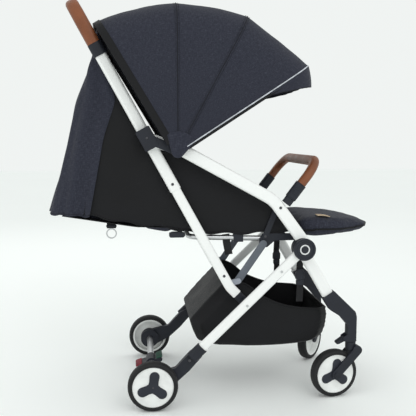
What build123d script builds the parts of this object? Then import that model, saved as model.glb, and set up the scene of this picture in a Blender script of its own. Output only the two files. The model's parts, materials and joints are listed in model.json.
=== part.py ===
from build123d import *
import math
import os

# Four-wheeled folding stroller. Millimetres. +X is the way it travels, +Y its left, +Z up.
# Points written (x, z) are measured from the rear axle and the ground.
# save() moves the whole stroller back by CENTRE_X, so its origin is under its middle.

# ---- driving dimensions ----
CENTRE_X = 182.32
RIGHT, LEFT = -1, 1
BOTH = (RIGHT, LEFT)

WHEEL_R = 65.0
WHEEL_W = 28.0
RIM_R = 53.0
BORE_GAP = 0.05

REAR_WHEEL_Y = 215.0
FRAME_Y = 166.0
REAR_LEG_Y = 202.5
ARMREST_Y = 184.5

HUB = (395.0, 413.0)
HANDLE_TOP = (-127.0, 917.0)
LOWER_BEND = (206.0, 308.0)
HANDLE_PIVOT_DOWN = 247.3
HANDLE_SEAM_DOWN = 399.0
FOOT_PIVOT = (246.0, 267.0)
REAR_AXLE = (0.0, WHEEL_R)
CASTER_STEM_X = 540.0
FRONT_AXLE = (491.0, WHEEL_R)
CASTER_TURN = {RIGHT: 9.0, LEFT: 50.0}
CANOPY_HINGE = (68.0, 667.0)
SEAT_HINGE = (100.0, 440.0)
LEGREST_HINGE = (388.0, 440.0)
HANGER_TOP = (335.0, 520.0)
HANGER_FOOT = (303.0, 440.0)
LINK_TOP = (298.0, 420.0)
LINK_FOOT = (230.0, 322.0)

TUBE_WALL = 1.5
HANDLE_TUBE = (30.0, 16.0)
LOWER_TUBE = (26.0, 12.0)
REAR_LEG = (26.0, 14.0)
FRONT_LEG = (32.0, 16.0)
ARMREST = (32.0, 15.0)

BOW_LAYERS = {"rear": 198.5, "first": 202.0, "second": 205.5, "front": 209.0}
BOW_RADII = {"rear": 387.0, "first": 381.0, "second": 398.0, "front": 418.0}
BOW_ANGLES = {"rear": 121.0, "first": 90.0, "second": 61.7, "front": 33.0}
BOW_THICK = 3.0
BOW_WIDE = 10.0
BOW_CORNER = 95.0
BOW_CROWN = 20.0
CANOPY_SKIN = 1.5

SEAT_HALF = 128.0
PANEL_Y = 147.5
BASKET_HALF = 148.0
CLOTH = 2.0

os.makedirs("parts", exist_ok=True)


def save(node, shapes):
    solids = [s for shape in shapes for s in shape.solids()]
    whole = solids[0] if len(solids) == 1 else Compound(children=solids)
    export_step(Pos(-CENTRE_X, 0, 0) * whole, f"parts/{node}.step")


# ---- shape helpers ----
def side_plane(y):
    return Plane(origin=(0, y, 0), x_dir=(1, 0, 0), z_dir=(0, -1, 0))


def plate(sketch, y_one, y_two):
    """A sketch drawn in (x, z), as thick as the two y values are apart."""
    low, high = sorted((y_one, y_two))
    return extrude(side_plane(high) * sketch, amount=high - low, dir=(0, -1, 0))


def outline(points, radius=0.0):
    face = Polygon(*points, align=None)
    return fillet(face.vertices(), radius) if radius else face


def disc(centre, radius, y_one, y_two):
    return plate(Pos(*centre) * Circle(radius), y_one, y_two)


def ring(centre, outer, inner, y_one, y_two):
    return plate(Pos(*centre) * (Circle(outer) - Circle(inner)), y_one, y_two)


def capsule(start, end, width):
    """A bar with round ends between two (x, z) points."""
    run = Vector(end[0] - start[0], end[1] - start[1])
    turn = math.degrees(math.atan2(run.Y, run.X))
    middle = ((start[0] + end[0]) / 2, (start[1] + end[1]) / 2)
    return Pos(*middle) * Rot(0, 0, turn) * SlotCenterToCenter(run.length, width)


def along(start, end, distance):
    """The (x, z) point that lies a distance from start towards end."""
    run = Vector(end[0] - start[0], end[1] - start[1]).normalized()
    return (start[0] + run.X * distance, start[1] + run.Y * distance)


def oval(size, wall=0.0):
    """An oval tube's section, its long side in the frame's plane."""
    wide, thick = size
    section = SlotOverall(wide, thick, rotation=90)
    if wall:
        section -= SlotOverall(wide - 2 * wall, thick - 2 * wall, rotation=90)
    return section


def section_plane(start, towards, y):
    run = Vector(towards[0] - start[0], 0, towards[1] - start[1])
    return Plane(origin=(start[0], y, start[1]), x_dir=(0, 1, 0), z_dir=run)


def straight_tube(start, end, y, size, wall=0.0):
    length = math.dist(start, end)
    return extrude(section_plane(start, end, y) * oval(size, wall), amount=length)


def bent_tube(points, radius, y, size, wall=0.0):
    path = FilletPolyline(*[(x, y, z) for x, z in points], radius=radius)
    section = section_plane(points[0], points[1], y) * oval(size, wall)
    return sweep(section, path=path)


def round_tube(points, radius, tube_radius, wall=0.0):
    """A round tube along points in (x, y, z)."""
    path = FilletPolyline(*points, radius=radius)
    section = Circle(tube_radius)
    if wall:
        section -= Circle(tube_radius - wall)
    start = Plane(origin=path @ 0, z_dir=path % 0)
    return sweep(start * section, path=path)


def box(low, high):
    size = [h - l for l, h in zip(low, high)]
    centre = [(h + l) / 2 for l, h in zip(low, high)]
    return Pos(*centre) * Box(*size)


# The handle's tubes lie on one line, from the grip's sleeve down to the lower bend.
HANDLE_PIVOT = along(HANDLE_TOP, LOWER_BEND, HANDLE_PIVOT_DOWN)
HANDLE_SEAM = along(HANDLE_TOP, LOWER_BEND, HANDLE_SEAM_DOWN)


# ---- wheels: made round the Y axis at the origin, outer face towards -Y ----
def tyre():
    half = WHEEL_W / 2
    section = Pos((RIM_R + WHEEL_R) / 2, 0) * Rectangle(WHEEL_R - RIM_R, WHEEL_W)
    tread = section.vertices().group_by(Axis.X)[-1]
    return revolve(fillet(tread, half * 0.6), axis=Axis.Y)


def wheel_disc(bore, blind):
    """Rim, thin web near the outer face, a boss, and a raised three-armed figure."""
    half = WHEEL_W / 2
    web = -half + 2.0
    body = ring((0, 0), RIM_R, RIM_R - 5, web, half - 2)
    body += ring((0, 0), RIM_R - 4, bore, web, web + 5)
    body += ring((0, 0), 17, bore, web, half - 1)
    for turn in range(3):
        hole = Rot(0, 30 + 120 * turn, 0) * disc((34, 0), 5, half, web + 4.9)
        body -= hole
    if blind:
        body += disc((0, 0), 17, web, web + 3)
    arms = [capsule((0, 0), (31 * math.cos(a), 31 * math.sin(a)), 17)
            for a in (math.radians(85 + 120 * n) for n in range(3))]
    figure = arms[0] + arms[1] + arms[2]
    if not blind:
        figure -= Circle(bore)
    return body + plate(figure, web - 1, web)


def place_wheel(shape, side, axle, y, turn=0.0):
    """Turn a wheel to its side, then about the caster's stem."""
    facing = shape if side == RIGHT else Rot(0, 0, 180) * shape
    stem = (CASTER_STEM_X, side * FRAME_Y, 0)
    placed = Pos(axle[0], side * y, axle[1]) * facing
    return Pos(*stem) * Rot(0, 0, turn) * Pos(*[-v for v in stem]) * placed


SIDE_NAME = {RIGHT: "right", LEFT: "left"}
REAR_PIN_R = 5.0
FRONT_PIN_R = 4.0
for side in BOTH:
    name = SIDE_NAME[side]
    rear = wheel_disc(REAR_PIN_R + BORE_GAP, True)
    front = wheel_disc(FRONT_PIN_R + BORE_GAP, False)
    save(f"rear_tyre_{name}", [place_wheel(tyre(), side, REAR_AXLE, REAR_WHEEL_Y)])
    save(f"rear_disc_{name}", [place_wheel(rear, side, REAR_AXLE, REAR_WHEEL_Y)])
    turn = CASTER_TURN[side]
    save(f"front_tyre_{name}", [place_wheel(tyre(), side, FRONT_AXLE, FRAME_Y, turn)])
    save(f"front_disc_{name}", [place_wheel(front, side, FRONT_AXLE, FRAME_Y, turn)])

# ---- casters ----
STEM_PIN_R = 5.0
FORK_TOP_Z = 149.0
FORK_KNEE = (553.0, 127.0)
FORK_IN, FORK_OUT = 15.5, 20.5


def caster_fork(side):
    """Two arms, a bridge over the wheel, the upright pin and the wheel's axle."""
    y = side * FRAME_Y
    shape = disc((551, 128), 13, y - FORK_OUT, y + FORK_OUT)
    shape += Pos(CASTER_STEM_X, y, 138) * Cylinder(14, 2 * (FORK_TOP_Z - 138))
    shape += Pos(CASTER_STEM_X, y, 170) * Cylinder(STEM_PIN_R, 50)
    for way in BOTH:
        near, far = y + way * FORK_IN, y + way * FORK_OUT
        shape += plate(capsule(FORK_KNEE, FRONT_AXLE, 24), near, far)
        shape += disc(FRONT_AXLE, 6, far, far + way * 2)
    shape += disc(FRONT_AXLE, FRONT_PIN_R, y - FORK_OUT, y + FORK_OUT)
    stem = (CASTER_STEM_X, y, 0)
    return Pos(*stem) * Rot(0, 0, CASTER_TURN[side]) * Pos(*[-v for v in stem]) * shape


LOCK_HINGE = (521.0, 158.0)


def caster_lock(side):
    y = side * FRAME_Y
    lever = outline([(517, 162), (525, 162), (525, 154), (505, 144), (498, 144), (498, 149)], 1.5)
    shape = plate(lever, y - 9, y + 9)
    return shape - disc(LOCK_HINGE, 2.05, y - 10, y + 10)


for side in BOTH:
    save(f"caster_fork_{SIDE_NAME[side]}", [caster_fork(side)])
    save(f"caster_lock_{SIDE_NAME[side]}", [caster_lock(side)])

# ---- front legs and their brackets ----
FRONT_LEG_END = (484.0, 262.0)
PIVOT_PIN_R = 5.0
PIVOT_BORE_R = PIVOT_PIN_R + BORE_GAP


def front_leg(side):
    y = side * FRAME_Y
    half = FRONT_LEG[1] / 2
    shape = straight_tube(along(HUB, FRONT_LEG_END, 16), FRONT_LEG_END, y, FRONT_LEG, TUBE_WALL)
    eye = disc(HUB, 20, y - half, y + half)
    return shape + eye - disc(HUB, PIVOT_BORE_R, y - half - 1, y + half + 1)


def front_bracket(side):
    """Socket on the leg, knee, upright stem bored for the caster, and ears for the lock."""
    y = side * FRAME_Y
    socket = outline([(457, 273), (488, 292), (548, 234), (552, 220), (552, 150.2),
                      (528, 150.2), (528, 196), (506, 222), (478, 240)], 3)
    shape = plate(socket, y - 13, y + 13)
    for way in BOTH:
        ear = outline([(516, 163.5), (530, 172), (530, 151), (516, 152.5)], 2)
        shape += plate(ear, y + way * 9.4, y + way * 13)
    shape += disc(LOCK_HINGE, 2, y - 13, y + 13)
    leg_hole = straight_tube(FRONT_LEG_END, along(FRONT_LEG_END, HUB, 60), y, FRONT_LEG)
    stem_hole = Pos(CASTER_STEM_X, y, 172.5) * Cylinder(STEM_PIN_R + BORE_GAP, 47)
    return shape - leg_hole - stem_hole


for side in BOTH:
    save(f"front_leg_{SIDE_NAME[side]}", [front_leg(side)])
save("front_brackets", [front_bracket(side) for side in BOTH])

# ---- rear legs, brackets and axle ----
REAR_LEG_END = (112.0, 142.0)


def rear_leg(side):
    y = side * REAR_LEG_Y
    half = REAR_LEG[1] / 2
    shape = straight_tube(along(HUB, REAR_LEG_END, 18), REAR_LEG_END, y, REAR_LEG, TUBE_WALL)
    eye = disc(HUB, 24, y - half, y + half)
    return shape + eye - disc(HUB, PIVOT_BORE_R, y - half - 1, y + half + 1)


def rear_bracket(side):
    """A socket round the leg's end, an arm inboard of the wheel, and a domed axle housing."""
    inner, outer = side * 184, side * 199.6
    start = along(REAR_LEG_END, HUB, 24)
    sleeve = straight_tube(REAR_LEG_END, start, side * REAR_LEG_Y, (32, 19))
    sleeve -= straight_tube(REAR_LEG_END, start, side * REAR_LEG_Y, REAR_LEG)
    foot = along(REAR_LEG_END, HUB, -14)
    block = straight_tube(foot, REAR_LEG_END, side * REAR_LEG_Y, (32, 19))
    arm = outline([(124, 158), (99, 146), (78, 124), (60, 104), (10, 92), (-26, 75), (-26, 50),
                   (20, 45), (62, 66), (96, 96), (130, 134)], 6)
    shape = plate(arm, inner, outer) + sleeve + block
    shape -= straight_tube(REAR_LEG_END, start, side * REAR_LEG_Y, REAR_LEG)
    shape += disc(REAR_AXLE, 28, side * 176, outer)
    return shape - disc(REAR_AXLE, AXLE_R, side * 170, side * 186)


AXLE_R = 9.0
AXLE_END_Y = 186.0
for side in BOTH:
    save(f"rear_leg_{SIDE_NAME[side]}", [rear_leg(side)])
axle = disc(REAR_AXLE, AXLE_R, -AXLE_END_Y, AXLE_END_Y)
stub_holes = [disc(REAR_AXLE, REAR_PIN_R, s * AXLE_END_Y, s * 200) for s in BOTH]
save("rear_brackets", [rear_bracket(s) - hole for s, hole in zip(BOTH, stub_holes)])
for side in BOTH:
    axle += disc(REAR_AXLE, REAR_PIN_R, side * AXLE_END_Y, side * 223.5)
save("rear_axle", [axle])


LEG_RIVETS = (FOOT_PIVOT, (336.0, 355.2))
leg_face = REAR_LEG_Y + REAR_LEG[1] / 2
save("frame_rivets", [disc(p, 3.5, s * leg_face, s * (leg_face + 1.2))
                      for p in LEG_RIVETS for s in BOTH])

# ---- brake pedal on the axle ----
PEDAL_Y = -22.0
PEDAL_HALF = 24.0
PAD_FRONT, PAD_REAR = (25.0, 74.0), (-33.0, 53.0)
pedal = capsule(PAD_REAR, PAD_FRONT, 12) + Pos(*REAR_AXLE) * Circle(15)
pedal -= Pos(*REAR_AXLE) * Circle(AXLE_R + BORE_GAP)
save("brake_pedal", [plate(pedal, PEDAL_Y - PEDAL_HALF, PEDAL_Y + PEDAL_HALF)])


def brake_pad(centre, lift):
    """A thin rubber pad on the top of one end of the rocker."""
    slope = math.degrees(math.atan2(PAD_FRONT[1] - PAD_REAR[1], PAD_FRONT[0] - PAD_REAR[0]))
    face = Rot(0, 0, slope) * Pos(0, lift) * Rectangle(16, 3)
    return plate(Pos(*centre) * face, PEDAL_Y - PEDAL_HALF, PEDAL_Y + PEDAL_HALF)


save("brake_pads", [brake_pad(centre, 7.5) for centre in (PAD_FRONT, PAD_REAR)])

# ---- armrest tubes, hub housings and the hanger pins ----
ARMREST_POINTS = [HANDLE_PIVOT, (84.0, 668.0), (317.5, 540.0), (386.0, 447.5)]
ARMREST_IN = ARMREST_Y - ARMREST[1] / 2
ARMREST_OUT = ARMREST_Y + ARMREST[1] / 2


def armrest_solid(side):
    return bent_tube(ARMREST_POINTS, 90, side * ARMREST_Y, ARMREST)


def armrest_tube(side):
    y = side * ARMREST_Y
    half = ARMREST[1] / 2
    start = along(HANDLE_PIVOT, ARMREST_POINTS[1], 12)
    shape = bent_tube([start] + ARMREST_POINTS[1:], 90, y, ARMREST, TUBE_WALL)
    shape += disc(HANDLE_PIVOT, 16, y - half, y + half)
    return shape - disc(HANDLE_PIVOT, PIVOT_BORE_R, y - half - 1, y + half + 1)


def armrest_sleeve(side):
    """Dark socket from the tube's end to the hub, the hub's pin, and the hanger's pin."""
    socket = straight_tube(HUB, along(HUB, ARMREST_POINTS[-1], 57), side * ARMREST_Y, (36, 18.6))
    shape = socket + disc(HUB, 27, side * (ARMREST_IN - 1.8), side * (ARMREST_OUT + 1.8))
    shape -= armrest_solid(side)
    return shape + disc(HUB, PIVOT_PIN_R, side * 157, side * 211)


for side in BOTH:
    save(f"armrest_tube_{SIDE_NAME[side]}", [armrest_tube(side)])
hanger_pins = [disc(HANGER_TOP, 4, s * 150.5, s * ARMREST_IN) for s in BOTH]
save("armrest_sleeves", [armrest_sleeve(side) for side in BOTH] + hanger_pins)

HUB_CAP_R = 29.0


def hub_cap(side):
    """A shallow disc with a raised ring on its face."""
    shape = disc(HUB, HUB_CAP_R, side * 211, side * 217)
    rim = ring(HUB, HUB_CAP_R, HUB_CAP_R - 5, side * 217, side * 219)
    return shape + rim + ring(HUB, 15, 9, side * 217, side * 218)


save("hub_caps", [hub_cap(side) for side in BOTH])

# ---- bumper bar: lifts out of two sockets on the armrests ----
BUMPER_FOOT = (352.0, 532.0)
BUMPER_TOP = (435.0, 640.0)
BUMPER_Y = 185.0
BUMPER_SECTION = (24.0, 28.0)


def bumper_point(distance):
    return along(BUMPER_FOOT, BUMPER_TOP, distance)


def bumper_socket(side):
    y = side * BUMPER_Y
    shape = straight_tube(bumper_point(-2), bumper_point(16), y, (26, 17))
    shape -= straight_tube(bumper_point(3), bumper_point(17), y, (15.6, 9.6))
    return shape - armrest_solid(side)


def bumper_end(side):
    """Plastic end: a tongue in the socket, a body, and a pocket for its button."""
    y = side * BUMPER_Y
    tongue = straight_tube(bumper_point(3.4), bumper_point(17), y, (15, 9))
    body = straight_tube(bumper_point(16.4), bumper_point(62), y, (30, 22))
    return tongue + body - bumper_pocket(side, 8.3, 4.0)


def bumper_pocket(side, radius, depth):
    outer = side * (BUMPER_Y + 12)
    return disc(bumper_point(38), radius, outer, side * (BUMPER_Y + 11 - depth))


def bumper_button(side):
    return disc(bumper_point(38), 8.0, side * (BUMPER_Y + 11.8), side * (BUMPER_Y + 10.2))


save("bumper_sockets", [bumper_socket(side) for side in BOTH])
save("bumper_ends", [bumper_end(side) for side in BOTH])
for side in BOTH:
    save(f"bumper_button_{SIDE_NAME[side]}", [bumper_button(side)])
low, high = bumper_point(62), BUMPER_TOP
grip_path = FilletPolyline((low[0], -BUMPER_Y, low[1]), (high[0], -BUMPER_Y, high[1]),
                           (high[0], BUMPER_Y, high[1]), (low[0], BUMPER_Y, low[1]), radius=52)
grip_start = Plane(origin=grip_path @ 0, x_dir=(0, 1, 0), z_dir=grip_path % 0)
save("bumper_grip", [sweep(grip_start * SlotOverall(BUMPER_SECTION[1], BUMPER_SECTION[0]),
                           path=grip_path)])

# ---- lower handle tubes, their feet and the links' brackets ----
LOWER_TOP = along(HANDLE_SEAM, HANDLE_TOP, 45)


def lower_tube(side):
    points = [LOWER_TOP, LOWER_BEND, along(LOWER_BEND, FOOT_PIVOT, 28)]
    return bent_tube(points, 60, side * FRAME_Y, LOWER_TUBE, TUBE_WALL)


def handle_foot(side):
    start = along(LOWER_BEND, FOOT_PIVOT, 28.2)
    arm = straight_tube(start, FOOT_PIVOT, side * FRAME_Y, (24, 13))
    return arm + disc(FOOT_PIVOT, 12, side * 159.5, side * 195.1)


save("lower_tubes", [lower_tube(side) for side in BOTH])
save("handle_feet", [handle_foot(side) for side in BOTH])

save("link_brackets", [plate(capsule((214, 318), LINK_FOOT, 15), s * 155.6, s * 160) for s in BOTH])

# ---- upper handle tubes, collars, sleeves and the grip ----
COLLAR_LOW = along(HANDLE_PIVOT, LOWER_BEND, 23)
COLLAR_HIGH = along(HANDLE_PIVOT, HANDLE_TOP, 21)


def upper_tube(side):
    return straight_tube(HANDLE_SEAM, HANDLE_TOP, side * FRAME_Y, HANDLE_TUBE, TUBE_WALL)


def handle_collar(side):
    """Sleeve round the tube, a web behind the armrest's eye, its pin, and the canopy's arm."""
    y = side * FRAME_Y
    sleeve = straight_tube(COLLAR_LOW, COLLAR_HIGH, y, (36, 20.5))
    bore = straight_tube(along(HANDLE_SEAM, HANDLE_TOP, 100), HANDLE_TOP, y, HANDLE_TUBE)
    web = outline([(-31, 682), (-25.4, 682), (-25.4, 722), (-31, 730)], 2)
    shape = sleeve + plate(web, side * 172, side * 196.8)
    cheek = capsule(HANDLE_PIVOT, CANOPY_HINGE, 24) + outline(
        [(-31, 682), (-3, 688), (-3, 712), (-31, 730)], 2)
    shape += plate(cheek, side * 193.2, side * 196.8)
    shape -= bore
    shape += disc(HANDLE_PIVOT, PIVOT_PIN_R, side * 174.2, side * 195)
    return shape + disc(CANOPY_HINGE, 4, side * 194, side * 212)


save("upper_tubes", [upper_tube(side) for side in BOTH])
save("handle_collars", [handle_collar(side) for side in BOTH])
SLEEVE_LOW = along(HANDLE_TOP, HANDLE_SEAM, 14)
SLEEVE_HIGH = along(HANDLE_SEAM, HANDLE_TOP, 418)


def grip_sleeve(side):
    y = side * FRAME_Y
    sleeve = straight_tube(SLEEVE_LOW, SLEEVE_HIGH, y, (36, 22))
    return sleeve - straight_tube(SLEEVE_LOW, HANDLE_TOP, y, HANDLE_TUBE)


save("grip_sleeves", [grip_sleeve(side) for side in BOTH])
GRIP_CORNER = along(HANDLE_SEAM, HANDLE_TOP, 535)
GRIP_SECTION = (24.0, 33.0)
grip_points = [(SLEEVE_HIGH[0], -FRAME_Y, SLEEVE_HIGH[1]), (GRIP_CORNER[0], -FRAME_Y, GRIP_CORNER[1]),
               (GRIP_CORNER[0], FRAME_Y, GRIP_CORNER[1]), (SLEEVE_HIGH[0], FRAME_Y, SLEEVE_HIGH[1])]
grip_line = FilletPolyline(*grip_points, radius=55)
grip_base = Plane(origin=grip_line @ 0, x_dir=(0, 1, 0), z_dir=grip_line % 0)
grip = sweep(grip_base * SlotOverall(GRIP_SECTION[1], GRIP_SECTION[0], rotation=90), path=grip_line)
button_seat = Pos(GRIP_CORNER[0] + 11, 0, GRIP_CORNER[1]) * Box(18, 40.6, 20.6)
save("handle_grip", [grip - button_seat])
save("fold_button", [Pos(GRIP_CORNER[0] + 12.5, 0, GRIP_CORNER[1]) * Box(8, 40, 20)])


# ---- canopy ----
def bow_path(layer, radius, angle, inner=0.0):
    """The line of one bow: up one side, over the top and down the other."""
    reach = Vector(math.cos(math.radians(angle)), 0, math.sin(math.radians(angle)))
    start = Vector(CANOPY_HINGE[0], 0, CANOPY_HINGE[1])
    across = Vector(0, layer, 0)
    points = [start - across + reach * inner, start - across + reach * (radius - BOW_CROWN),
              start + reach * radius, start + across + reach * (radius - BOW_CROWN),
              start + across + reach * inner]
    return FilletPolyline(*points, radius=BOW_CORNER)


def bow(which, hinged=True):
    layer, radius, angle = BOW_LAYERS[which], BOW_RADII[which], BOW_ANGLES[which]
    path = bow_path(layer, radius, angle, inner=8)
    base = Plane(origin=path @ 0, x_dir=(0, 1, 0), z_dir=path % 0)
    shape = sweep(base * Rectangle(BOW_THICK, BOW_WIDE), path=path)
    half = BOW_THICK / 2
    for side in BOTH:
        near, far = side * (layer - half), side * (layer + half)
        shape += disc(CANOPY_HINGE, 10, near, far)
        shape -= disc(CANOPY_HINGE, 4 + BORE_GAP if hinged else 4, near - side, far + side)
    return shape


save("canopy_bow_rear", [bow("rear", hinged=False)])
save("canopy_bow_1", [bow("first")])
save("canopy_bow_2", [bow("second")])
save("canopy_bow_front", [bow("front")])


def canopy_gore(first, second, shrink):
    """The space between two bows, drawn as flat faces in each bow's plane and joined."""
    faces = []
    for which in (first, second):
        radius = BOW_RADII[which] + 6 - shrink
        path = bow_path(213.5 - shrink, radius, BOW_ANGLES[which], inner=26)
        faces.append(make_face(Wire([*path.edges(), Line(path @ 1, path @ 0)])))
    return loft(faces, ruled=True)


gores = [("rear", "first"), ("first", "second"), ("second", "front")]
outer = [canopy_gore(a, b, 0.0) for a, b in gores]
inner = [canopy_gore(a, b, CANOPY_SKIN) for a, b in gores]
canopy = (outer[0] + outer[1] + outer[2]) - inner[0] - inner[1] - inner[2]
save("canopy_fabric", [canopy])

VISOR_HINGE = (415.0, 880.0)
visor = plate(outline([(411, 878), (417, 878), (431, 834), (428, 830), (424, 834)], 1), -150, 150)
save("sun_visor", [visor])

# ---- seat: rails, brackets, cushion, hangers and links ----
RAIL_Y = 138.0
RAIL_R = 7.0
x, z = SEAT_HINGE
rails = round_tube([(300, -RAIL_Y, 433), (x, -RAIL_Y, z), (x, RAIL_Y, z), (300, RAIL_Y, 433)],
                   28, RAIL_R)
save("seat_rails", [rails])


def seat_bracket(side):
    """A plate outside the rail with the hanger's and the link's eyes, and a block round it."""
    flat = outline([(288, 412), (309, 410), (330, 428), (394, 428), (394, 447), (296, 447),
                    (288, 432)], 4)
    shape = plate(flat, side * 146.4, side * 150.4)
    shape += box((300.5, min(side * 128, side * 147), 428), (345, max(side * 128, side * 147), 442))
    shape -= disc(HANGER_FOOT, 4.05, side * 145, side * 151)
    return shape - disc(LINK_TOP, 3.55, side * 145, side * 151)


front_bar = disc((366, 436), 6, -146.4, 146.4)
save("seat_brackets", [seat_bracket(RIGHT) + front_bar + seat_bracket(LEFT)])


def hanger_arm(side):
    shape = plate(capsule(HANGER_TOP, HANGER_FOOT, 15), side * 151, side * 155)
    shape -= disc(HANGER_TOP, 4.05, side * 150, side * 156)
    return shape + disc(HANGER_FOOT, 4, side * 146.4, side * 151)


def seat_link(side):
    shape = plate(capsule(LINK_TOP, LINK_FOOT, 13), side * 151, side * 155)
    return shape + disc(LINK_TOP, 3.5, side * 146.4, side * 151)


save("hanger_arms", [hanger_arm(side) for side in BOTH])
save("seat_links", [seat_link(side) for side in BOTH])
cushion = box((112, -SEAT_HALF, 448), (378, SEAT_HALF, 474))
save("seat_cushion", [fillet(cushion.edges().filter_by(Axis.Z), 18)])
save("rail_clips", [Pos(232, s * RAIL_Y, 435.4) * Box(26, 17, 20) - rails for s in BOTH])

pad_side = outline([(72, 447), (-244, 505), (-236, 531), (64, 482)], 4)
save("backrest_pad", [plate(pad_side, -SEAT_HALF, SEAT_HALF)])

slope = math.degrees(math.atan2(58, 316))
shoulders = [Pos(-10, y, 503.5) * Rot(0, slope, 0) * Box(180, 26, 3) for y in (-50, 50)]
STRAP_X, STRAP_Y = -108.0, 6.0
recline = box((STRAP_X - 13, STRAP_Y - 1, 446), (STRAP_X + 13, STRAP_Y + 1, 475))
save("backrest_straps", shoulders + [recline])
waist = [Pos(140, y, 477) * Box(90, 26, 3) for y in (-70, 70)]
save("waist_strap", waist + [Pos(170, 0, 479.5) * Box(50, 46, 11)])
save("d_ring", [ring((STRAP_X, 431), 15, 11.5, STRAP_Y - 1.75, STRAP_Y + 1.75)])

# ---- legrest ----
legrest_side = outline([(393, 441), (440, 436), (560, 446), (629, 455), (624, 464), (545, 478),
                        (450, 486), (398, 484)], 4)
legrest_plan = outline([(393, -150), (520, -150), (600, -112), (631, -40), (631, 40), (600, 112),
                        (520, 150), (393, 150)], 30)
legrest = plate(legrest_side, -150, 150) & extrude(Pos(0, 0, 400) * legrest_plan, amount=200)
save("legrest_pad", [legrest])

# ---- fabric panels: thin plates between the frame's tubes ----
PANEL = [(-172, 506), (-138, 700), (-106, 800), (-118, 884), (-104, 890), (-2, 706), (84, 680),
         (306, 556), (330, 530), (392, 452), (296, 450), (110, 462)]
save("side_panels", [plate(outline(PANEL), s * (PANEL_Y - 1), s * (PANEL_Y + 1)) for s in BOTH])

FLAP_BACK = [(-140, 908), (-187, 790), (-209, 686), (-262, 503)]
FLAP_FRONT = [(-155, 498), (-118, 700), (-86, 796), (-114, 905)]
flap_solid = plate(outline(FLAP_BACK + FLAP_FRONT), -153, 153)
inside_back = [(x + CLOTH, z) for x, z in FLAP_BACK]
flap_space = outline([(-138, 930)] + inside_back + [(-260, 480), (60, 480), (60, 930)])
save("rear_flap", [flap_solid - plate(flap_space, -151, 151)])

# ---- basket and its straps ----
BASKET = [(102, 208), (126, 148), (160, 141), (440, 139), (470, 146), (482, 232), (306, 281),
          (208, 322)]
BASKET_SPACE = [(105, 208), (128, 150), (161, 143), (439, 141), (468, 148), (480, 235), (480, 400),
                (100, 400)]
basket = plate(outline(BASKET), -BASKET_HALF, BASKET_HALF)
basket -= plate(outline(BASKET_SPACE), -BASKET_HALF + CLOTH, BASKET_HALF - CLOTH)
save("basket", [basket])


def basket_strap(side):
    """Webbing from under the seat to the basket's edge, with a buckle half way."""
    y = side * 144.5
    webbing = box((393, min(y, y + side), 256), (411, max(y, y + side), 410))
    return webbing + box((389, y - 4, 300), (415, y + 4, 345))


save("basket_straps", [basket_strap(side) for side in BOTH])
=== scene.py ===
"""Folding baby stroller: the looks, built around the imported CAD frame.

Lengths are metres in the row frame: +X the way it travels, +Y its left, +Z up.
spot(x, z, y) takes x from the rear axle, as the frame's own drawings do.
"""
import json
import math

import bpy
from mathutils import Matrix, Vector, noise
from mathutils.kdtree import KDTree


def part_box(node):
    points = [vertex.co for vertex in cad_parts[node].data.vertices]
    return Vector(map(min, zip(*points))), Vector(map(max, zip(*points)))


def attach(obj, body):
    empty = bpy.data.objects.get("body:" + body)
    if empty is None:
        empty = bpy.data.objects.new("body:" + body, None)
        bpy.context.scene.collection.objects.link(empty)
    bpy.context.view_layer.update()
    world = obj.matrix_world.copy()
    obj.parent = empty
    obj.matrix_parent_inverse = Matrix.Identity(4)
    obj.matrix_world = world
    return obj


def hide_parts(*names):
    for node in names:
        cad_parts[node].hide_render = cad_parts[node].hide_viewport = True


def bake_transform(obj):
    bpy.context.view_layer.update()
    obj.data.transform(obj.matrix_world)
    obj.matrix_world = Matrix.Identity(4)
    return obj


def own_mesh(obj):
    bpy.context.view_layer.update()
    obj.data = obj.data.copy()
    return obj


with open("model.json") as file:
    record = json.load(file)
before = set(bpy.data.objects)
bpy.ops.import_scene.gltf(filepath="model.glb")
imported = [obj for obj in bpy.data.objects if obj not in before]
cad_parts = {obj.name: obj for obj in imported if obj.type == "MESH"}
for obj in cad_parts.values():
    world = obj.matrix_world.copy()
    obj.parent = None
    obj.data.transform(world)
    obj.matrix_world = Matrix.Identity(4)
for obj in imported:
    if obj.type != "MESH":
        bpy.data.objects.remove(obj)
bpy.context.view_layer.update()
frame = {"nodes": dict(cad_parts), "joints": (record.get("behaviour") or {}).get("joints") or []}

bl_info = {
    "name": "Baby Stroller",
    "version": (1, 0, 0),
    "blender": (4, 5, 0),
    "location": "View3D > Sidebar > Stroller",
    "description": "Builds the looks of a folding four-wheeled stroller",
    "category": "Add Mesh",
}

SIDES = {"right": -1, "left": 1}


# ---- places in the frame ----
def middle(node):
    low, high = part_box(node)
    return (low + high) / 2


AXLE = middle("rear_axle")
JOINTS = {joint["name"]: joint for joint in frame["joints"]}


def spot(x, z, y=0.0):
    return Vector((AXLE.x + x, y, z))


def joint_place(name):
    return Vector(JOINTS[name]["pos_m"])


HUB = joint_place("frame_fold")
HANDLE_PIVOT = joint_place("handle_fold")
CANOPY_HINGE = joint_place("canopy_fold")
HANDLE_UP = Vector(JOINTS["handle_telescope"]["axis"])
HANDLE_OUT = Vector((HANDLE_UP.z, 0, -HANDLE_UP.x))


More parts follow.
